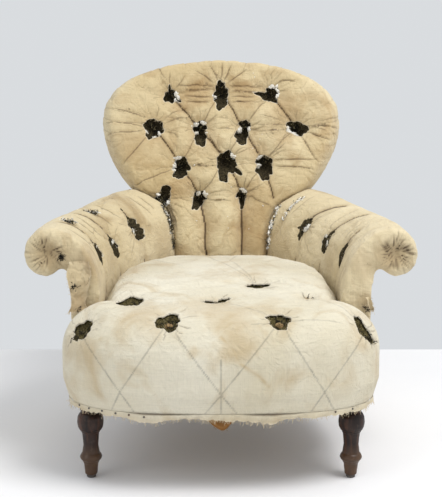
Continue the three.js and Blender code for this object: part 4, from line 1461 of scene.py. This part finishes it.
def brown_the_arms(arms):
    """Grey-brown patches on the scroll fronts, just below their middles, and low on the inner faces by the
    seat.
    """
    for side, sign in SIDES.items():
        surface = arms[side].surface
        spots = [
            (surface.near((sign * (SCROLL.x - 0.02), FACING_LOW.y, SCROLL.z - 0.005))[0], 0.045, 0.5),
            (surface.near((sign * 0.30, FACING_LOW.y, SCROLL.z - 0.02))[0], 0.050, 0.35),
            (on_arm(surface, side, 0.40, 0.03), 0.06, 0.35),
            (on_arm(surface, side, 0.20, 0.02), 0.05, 0.25),
        ]
        soil(arms[side].piece, spots, 95)


# ---------------------------------------------------------------- loose and torn cloth

def cloth_strip(name, rows):
    """A sheet of cloth from rows of points, all the same length."""
    many = len(rows[0])
    points = [point for row in rows for point in row]
    faces = [
        (r * many + c, r * many + c + 1, (r + 1) * many + c + 1, (r + 1) * many + c)
        for r in range(len(rows) - 1)
        for c in range(many - 1)
    ]
    return piece_of(name, points, faces)


def declare_sheet(piece):
    """Adds up the sheet's area, and does nothing with it."""
    area = sum(face.area for face in piece.data.polygons)


def hem_line(surface, level):
    """Places round the bottom of the seat at a level, from one ear round the front to the other."""
    middle = Vector((0, BORDER_LOW.y + 0.14, level))
    places = []
    for degrees in np.arange(176.0, 364.5, 0.5):
        turn = math.radians(degrees)
        way = Vector((math.cos(turn), math.sin(turn), 0))
        place, out, _, _ = surface.tree.ray_cast(middle + way, -way)
        if place:
            places.append((place, out))
    return places


# The hem's loose strip hangs lower in two places: where, how wide and how far
HEM_DROPS = ((-0.140, 0.038, 9 * MM), (0.092, 0.032, 9 * MM), (0.020, 0.060, 3 * MM))
# and stands away from the cover, with shadow painted as a dark slit above it, in these
HEM_SLITS = ((-0.115, 0.070), (0.100, 0.055))
HEM_TACKS = (-0.285, -0.262, -0.236, -0.208, -0.181, -0.150, 0.225, 0.262)


def make_hem(seat):
    """The torn bottom edge: a loose folded strip of calico, tacks, and frayed threads."""
    surface = Surface(seat.piece)
    line = hem_line(surface, BORDER_LOW.z + 9 * MM)
    chance = np.random.default_rng(61)
    count = 7
    rows = [[] for _ in range(count)]
    frays = Pile(62)
    spots = np.array([place for place, _ in line])
    rough = ripple(spots, 0.034, 3) + 0.8 * ripple(spots, 0.010, 4)
    slit = np.zeros(len(line))
    for number, (place, out) in enumerate(line):
        out = Vector((out.x, out.y, 0)).normalized()
        drop = (2.5 + 2.2 * float(rough[number]) + chance.uniform(-0.8, 0.8)) * MM
        drop += sum(far * math.exp(-(((place.x - at) / wide) ** 2)) for at, wide, far in HEM_DROPS)
        slit[number] = max(math.exp(-(((place.x - at) / wide) ** 4)) for at, wide in HEM_SLITS)
        tall = 8 * MM + drop
        for row, stack in enumerate(rows):
            share = row / (count - 1)
            wave = 1.8 * MM * math.sin(0.31 * number + 2 * share) * share
            proud = (1.2 + 2.6 * slit[number] * math.sin(math.pi * min(1.0, share + 0.2))) * MM
            stack.append(place + out * (proud + wave) + Vector((0, 0, -tall * share)))
        if chance.uniform() < 0.7:
            way = Vector((chance.uniform(-0.7, 0.7), 0, -1)) + out * 0.3
            frays.wander(rows[-1][-1], way, chance.uniform(2, 10) * MM, 0.35, 0.3 * MM, 0.5, 0.2)
    strip = cloth_strip("seat_hem", rows)
    many = len(line)
    mark(strip, "rim", np.repeat([0, 0, 0, 0, 0.1, 0.3, 0.7], many))
    # painted shadow: a dark line in the slit where the strip stands away from the cover
    mark(strip, "line", np.concatenate([0.95 * slit, 0.3 * slit] + [np.zeros(many)] * (count - 2)))
    mark(strip, "soil", np.repeat([0.2, 0.2, 0.25, 0.3, 0.35, 0.45, 0.5], many))
    dress(strip, CALICO_SEAT, "seat_calico", "frame")
    declare_sheet(strip)
    dress(frays.piece("seat_hem_threads"), THREADS, "seat_calico", "frame")

    tacks = Pile(63)
    for at in HEM_TACKS:
        number = int(np.argmin(np.abs(spots[:, 0] - at) + 2.0 * (spots[:, 1] > -0.25)))
        out = Vector((line[number][1].x, line[number][1].y, 0)).normalized()
        tacks.stud(Vector(rows[2][number]) + out * 0.5 * MM, out, 2.2 * MM)
    dress(tacks.piece("seat_tacks"), STEEL, "steel", "frame")


def make_remnant():
    """The scrap of brown bottom cloth that hangs under the middle of the front rail, with its frayed edge."""
    low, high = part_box("bottom_cloth_remnant")
    half = (high.x - low.x) / 2 + 4 * MM
    drop = high.z - low.z + 8 * MM
    rows = []
    frays = Pile(64)
    down, count = 9, 25
    for row in range(down):
        share = row / (down - 1)
        line = []
        for number in range(count):
            across = 2 * number / (count - 1) - 1
            deep = drop * (1 - abs(across) ** 1.8) + 1.5 * MM * math.sin(5 * across)
            sag = 2.5 * MM * math.sin(math.pi * share) * math.cos(2 * across)
            line.append(Vector((across * half, low.y + 1 * MM - sag, high.z + 2 * MM - deep * share)))
        rows.append(line)
    frays.fringe(rows[-1], 0, 6, 0.35 * MM)
    flap = cloth_strip("bottom_cloth_flap", rows)
    dress(flap, HESSIAN, "hessian", "frame", "bottom_cloth_remnant")
    declare_sheet(flap)
    dress(frays.piece("bottom_cloth_threads"), TWINE, "hessian", "frame")


def torn_strip(name, edges, top, bottom, material, seed):
    """A crumpled strip of cloth that hangs in front of an arm, torn along its sides and its foot.

    edges are (share of the way down, outer edge across, inner edge across).
    """
    shares, outer, inner = np.array(edges).T
    frays = Pile(seed)
    rows = []
    down = max(12, int((top - bottom) / (2.4 * MM)))
    count = 22
    for row in range(down):
        share = row / (down - 1)
        up = top + (bottom - top) * share
        spot = np.array([[0.0, 0.0, up]])
        start = np.interp(share, shares, outer) + 2.2 * MM * float(ripple(spot, 0.020, seed)[0])
        end = np.interp(share, shares, inner) + 1.5 * MM * float(ripple(spot, 0.016, seed + 1)[0])
        line = []
        for number in range(count):
            across = number / (count - 1)
            x = start + (end - start) * across
            foot = frays.chance.uniform(0, 6) * MM if row == down - 1 else 0.0
            spot = np.array([[x, 0.0, up]])
            bulge = 3.0 * MM * float(ripple(spot, 0.030, seed + 2)[0])
            bulge -= 4 * MM * float(crumple(spot, 0.018, seed)[0])
            curl = 5 * MM * abs(2 * across - 1) ** 3 + 6 * MM * share ** 2
            line.append(Vector((x, FACING_LOW.y - 4 * MM - curl - bulge, up - foot)))
        rows.append(line)
        for place, way in ((line[0], -1), (line[-1], 1)):
            if frays.chance.uniform() < 0.6:
                frays.wander(place, (way, -0.5, -0.6), frays.chance.uniform(2, 8) * MM, 0.4, 0.3 * MM)
    frays.fringe(rows[-1], -0.3, 9, 0.3 * MM)
    strip = cloth_strip(name, rows)
    fray = np.zeros((down, count))
    fray[:, [0, -1]] = 0.8
    fray[-1] = 0.9
    mark(strip, "rim", fray.ravel())
    points = points_of(strip)
    creases = crumple(points, 0.018, seed)
    # painted shade: dark lines in the crumple valleys. The soil mark below is browner toward the foot, and
    # adds painted shade in the valleys.
    mark(strip, "line", 0.5 * creases ** 2)
    low = np.clip((top - points[:, 2]) / (top - bottom), 0, 1)
    mark(strip, "soil", 0.08 + 0.50 * low ** 2 + 0.25 * creases)
    dress(strip, material, "back_calico", "frame")
    declare_sheet(strip)
    dress(frays.piece(f"{name}_threads"), THREADS, "back_calico", "frame")
    return strip


def make_facings(arms):
    """The left arm's torn facing, down from the scroll's neck, and the right one's frayed tip at the seat."""
    neck = SCROLL.z - 0.014
    foot = SEAT_TOP - 0.052
    left = (
        (0.0, -0.312, -0.272), (0.25, -0.319, -0.268), (0.55, -0.314, -0.274), (0.68, -0.308, -0.279),
        (0.85, -0.311, -0.281), (1.0, -0.316, -0.279),
    )
    torn_strip("left_facing_strip", left, neck, foot, TORN_CALICO, 65)
    right = ((0.0, 0.300, 0.309), (0.5, 0.302, 0.314), (1.0, 0.310, 0.317))
    top = SEAT_TOP - 0.022
    torn_strip("right_facing_tip", right, top, foot + 0.004, CALICO_ARM, 75)

    gaps = Pile(67)
    clumps = (
        (-0.330, neck + 0.010, 60), (-0.304, SEAT_TOP + 0.002, 26), (-0.296, foot + 0.004, 30),
        (0.305, foot + 0.006, 22),
    )
    for across, up, many in clumps:
        for _ in range(many):
            start = Vector((across, 0, up)) + Vector(gaps.chance.normal(size=3)) * 3.0 * MM
            start.y = FACING_LOW.y - gaps.chance.uniform(3, 13) * MM
            way = gaps.chance.normal(size=3)
            gaps.wander(start, way, gaps.chance.uniform(5, 11) * MM, 0.7, 0.6 * MM, 0.1)
    dress(gaps.piece("facing_stuffing"), HAIR, "stuffing", "frame")
    for side, sign in SIDES.items():
        surface = Surface(arms[side].piece)
        bare = [(surface.near((sign * 0.300, FACING_LOW.y, SEAT_TOP - 0.03))[0], 0.030, 0.6)]
        soil(arms[side].piece, bare, 97)


def fill_seams(back, arms):
    """Wadding and hair that burst out of the seams between the back and the arms, and at the left crest."""
    wads, hairs = Pile(81), Pile(82)

    def burst(start, end, tufts, hair_count, out, spread):
        run = end - start
        for number in range(tufts):
            share = (number + wads.chance.uniform()) / tufts
            aside = Vector((wads.chance.uniform(-1, 1) * spread, 0, 0))
            place = start + run * share + aside
            size = wads.chance.uniform(0.5, 1.0)
            along = (run.normalized() + 0.5 * Vector(wads.chance.normal(size=3))).normalized()
            wads.shred(place + out * 1.5 * MM, out, along, 17 * MM * size, 5.5 * MM * size)
            for _ in range(4):
                length = wads.chance.uniform(4, 12) * MM
                wads.wander(place, along + out * 0.6, length, 0.6, 0.3 * MM)
        for _ in range(hair_count):
            share = hairs.chance.uniform()
            aside = Vector((hairs.chance.normal() * 0.5 * spread, 0, 0))
            place = start + run * share + aside
            way = Vector(hairs.chance.normal(size=3)) + out
            shade = hairs.chance.uniform() ** 2
            hairs.wander(place, way, hairs.chance.uniform(5, 14) * MM, 0.7, 0.6 * MM, shade)

    front = Vector((0, -1, 0.25)).normalized()
    for side, tufts, hair_count, spread in (("left", 14, 320, 4 * MM), ("right", 30, 90, 5 * MM)):
        sign = SIDES[side]
        surface = Surface(arms[side].piece)
        stops = [
            surface.near((sign * across, BACK_LOW.y + deep, SEAT_TOP + up))[0] + front * 3 * MM
            for across, deep, up in ((0.134, 0.022, 0.118), (0.124, 0.014, 0.062), (0.113, 0.006, 0.004))
        ]
        for start, end in zip(stops, stops[1:]):
            burst(start, end, tufts // 2, hair_count // 2, front, spread)
    right = Surface(arms["right"].piece)
    seam = ((0.150, 0.19, 0.46), (0.168, 0.20, 0.50), (0.192, 0.20, 0.525))
    torn = [right.near(place)[0] for place in seam]
    for start, end in zip(torn, torn[1:]):
        burst(start, end, 10, 20, Vector((-0.4, -0.8, 0.45)).normalized(), 4 * MM)
    left = Surface(arms["left"].piece)
    for middle in ((-0.299, 0.049, 0.500), (-0.333, -0.096, 0.501)):
        place, out = left.near(middle)
        along = Vector((0.9, -0.3, 0.0)).normalized() * 15 * MM
        burst(place - along, place + along, 16, 120, out, 6 * MM)
    for _ in range(16):
        place = on_back(back.surface, wads.chance.uniform(-0.7, 0.7), wads.chance.uniform(0.1, 0.95))
        along = Vector(wads.chance.normal(size=3)).cross(front).normalized()
        size = wads.chance.uniform(2.5, 6) * MM
        wads.shred(place + front * 0.8 * MM, front, along, size, 0.5 * size)
    dress(wads.piece("seam_wadding"), WADDING, "stuffing", "frame")
    dress(hairs.piece("seam_hair"), HAIR, "stuffing", "frame")


# ---------------------------------------------------------------- springs, legs and outside covers

def make_springs():
    """Nine fine coil springs, wider at both ends."""
    for number in range(1, 10):
        node = f"seat_spring_{number}"
        low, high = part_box(node)
        middle = (low + high) / 2
        coil = Pile(number)
        turns, per_turn = 5, 20
        path = []
        for step in range(turns * per_turn + 1):
            share = step / (turns * per_turn)
            waist = 0.62 + 0.38 * abs(2 * share - 1)
            radius = ((high.x - low.x) / 2 - 2 * MM) * waist
            turn = 2 * math.pi * step / per_turn
            up = low.z + 2 * MM + (high.z - low.z - 4 * MM) * share
            path.append(Vector((middle.x + radius * math.cos(turn), middle.y + radius * math.sin(turn), up)))
        coil.fibre(path, 2 * MM)
        piece = coil.piece(f"coil_{number}")
        dress(piece, STEEL, "steel", "frame", node)
        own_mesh(piece)


CAD_ROUND_SIDES = 16
# Heights of the lines cut round a turned leg, above the floor, and how deep each is in millimetres
LEG_LINES = ((0.0365, 0.6), (0.0525, 0.7), (0.0960, 0.8), (0.1005, 0.7), (0.1395, 1.0), (0.1510, 0.8))


def turned_leg(side):
    """A front leg, made truly round from the frame's sixteen flats, with the lines that were cut round it."""
    leg = one_skin(f"turned_leg_{side}", [f"front_leg_{side}"], 1.2 * MM)
    low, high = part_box(f"front_leg_{side}")
    middle = (low + high) / 2
    points = points_of(leg)
    offset = points[:, :2] - np.array((middle.x, middle.y))
    radius = np.hypot(*offset.T) + 1e-9
    flat = 2 * math.pi / CAD_ROUND_SIDES
    within = np.arctan2(offset[:, 1], offset[:, 0]) % flat - flat / 2
    rounder = np.cos(within) / math.cos(flat / 2)
    lines = sum(deep * MM * np.exp(-(((points[:, 2] - up) / (1.1 * MM)) ** 2)) for up, deep in LEG_LINES)
    worn = 0.25 * MM * ripple(points, 0.018, 17 + SIDES[side])
    offset *= (rounder - (lines + worn) / np.maximum(radius, 5 * MM))[:, None]
    points[:, :2] = offset + np.array((middle.x, middle.y))
    move_points(leg, points)
    return relax(leg, 1)


def make_legs():
    """The turned front legs and the sabre rear legs, with their edges worn round."""
    for side in SIDES:
        dress(turned_leg(side), WALNUT, "walnut", "frame", f"front_leg_{side}")
        rear = relax(one_skin(f"rear_leg_{side}", [f"rear_post_{side}"], 2.5 * MM), 3)
        dress(rear, WALNUT, "walnut", "frame", f"rear_post_{side}")


def fine_copy(name, node, longest):
    """The CAD node's own closed mesh, with its edges split until none is longer than that."""
    shape = bmesh.new()
    shape.from_mesh(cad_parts[node].data)
    bmesh.ops.remove_doubles(shape, verts=shape.verts, dist=0.01 * MM)
    most_rounds = 9
    for _ in range(most_rounds):
        bmesh.ops.triangulate(shape, faces=shape.faces)
        long_edges = [edge for edge in shape.edges if edge.calc_length() > longest]
        if not long_edges:
            break
        bmesh.ops.subdivide_edges(shape, edges=long_edges, cuts=1)
    mesh = bpy.data.meshes.new(name)
    shape.to_mesh(mesh)
    shape.free()
    mesh.validate()  # a sliver of no area can be left twice by the splitting
    return new_piece(name, mesh)


def make_outside_covers():
    """Plain calico pulled over the outside of the back and arms, pushed out in uneven slack waves."""
    most_slack = 2.6 * MM
    for node, way in (
        ("outside_back_panel", (0, 1, 0)),
        ("outside_arm_panel_left", (-1, 0, 0)),
        ("outside_arm_panel_right", (1, 0, 0)),
    ):
        panel = fine_copy(node.replace("panel", "calico"), node, 9 * MM)
        points = points_of(panel)
        wave = ripple(points, 0.11, 21) + 0.5 * ripple(points * (1, 1, 0.25), 0.035, 22)
        slack = most_slack * np.clip(0.5 + 0.4 * wave, 0, 1)
        move_points(panel, points + np.array(way) * slack[:, None])
        mark(panel, "soil", np.clip(0.5 * ripple(points, 0.12, 23), 0, 1))
        dress(panel, CALICO_ARM, "back_calico", "frame", node)


back = make_back()
arms = {side: make_arm(side) for side in SIDES}
seat = make_seat()
brown_the_back(back)
brown_the_arms(arms)
stain_the_seat(seat)
pencil_the_seat(seat)
make_washers(seat)
make_hem(seat)
make_remnant()
make_facings(arms)
fill_seams(back, arms)
make_springs()
make_legs()
make_outside_covers()

FINISHES = {
    "walnut": WALNUT, "beech": BEECH, "steel": STEEL, "webbing": WEBBING, "hessian": HESSIAN,
    "twine": TWINE, "stuffing": STUFFING, "back_calico": CALICO_ARM, "seat_calico": CALICO_SEAT,
}
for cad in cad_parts.values():
    for place in cad.material_slots:
        place.material = FINISHES[place.material.name.split(".")[0]]
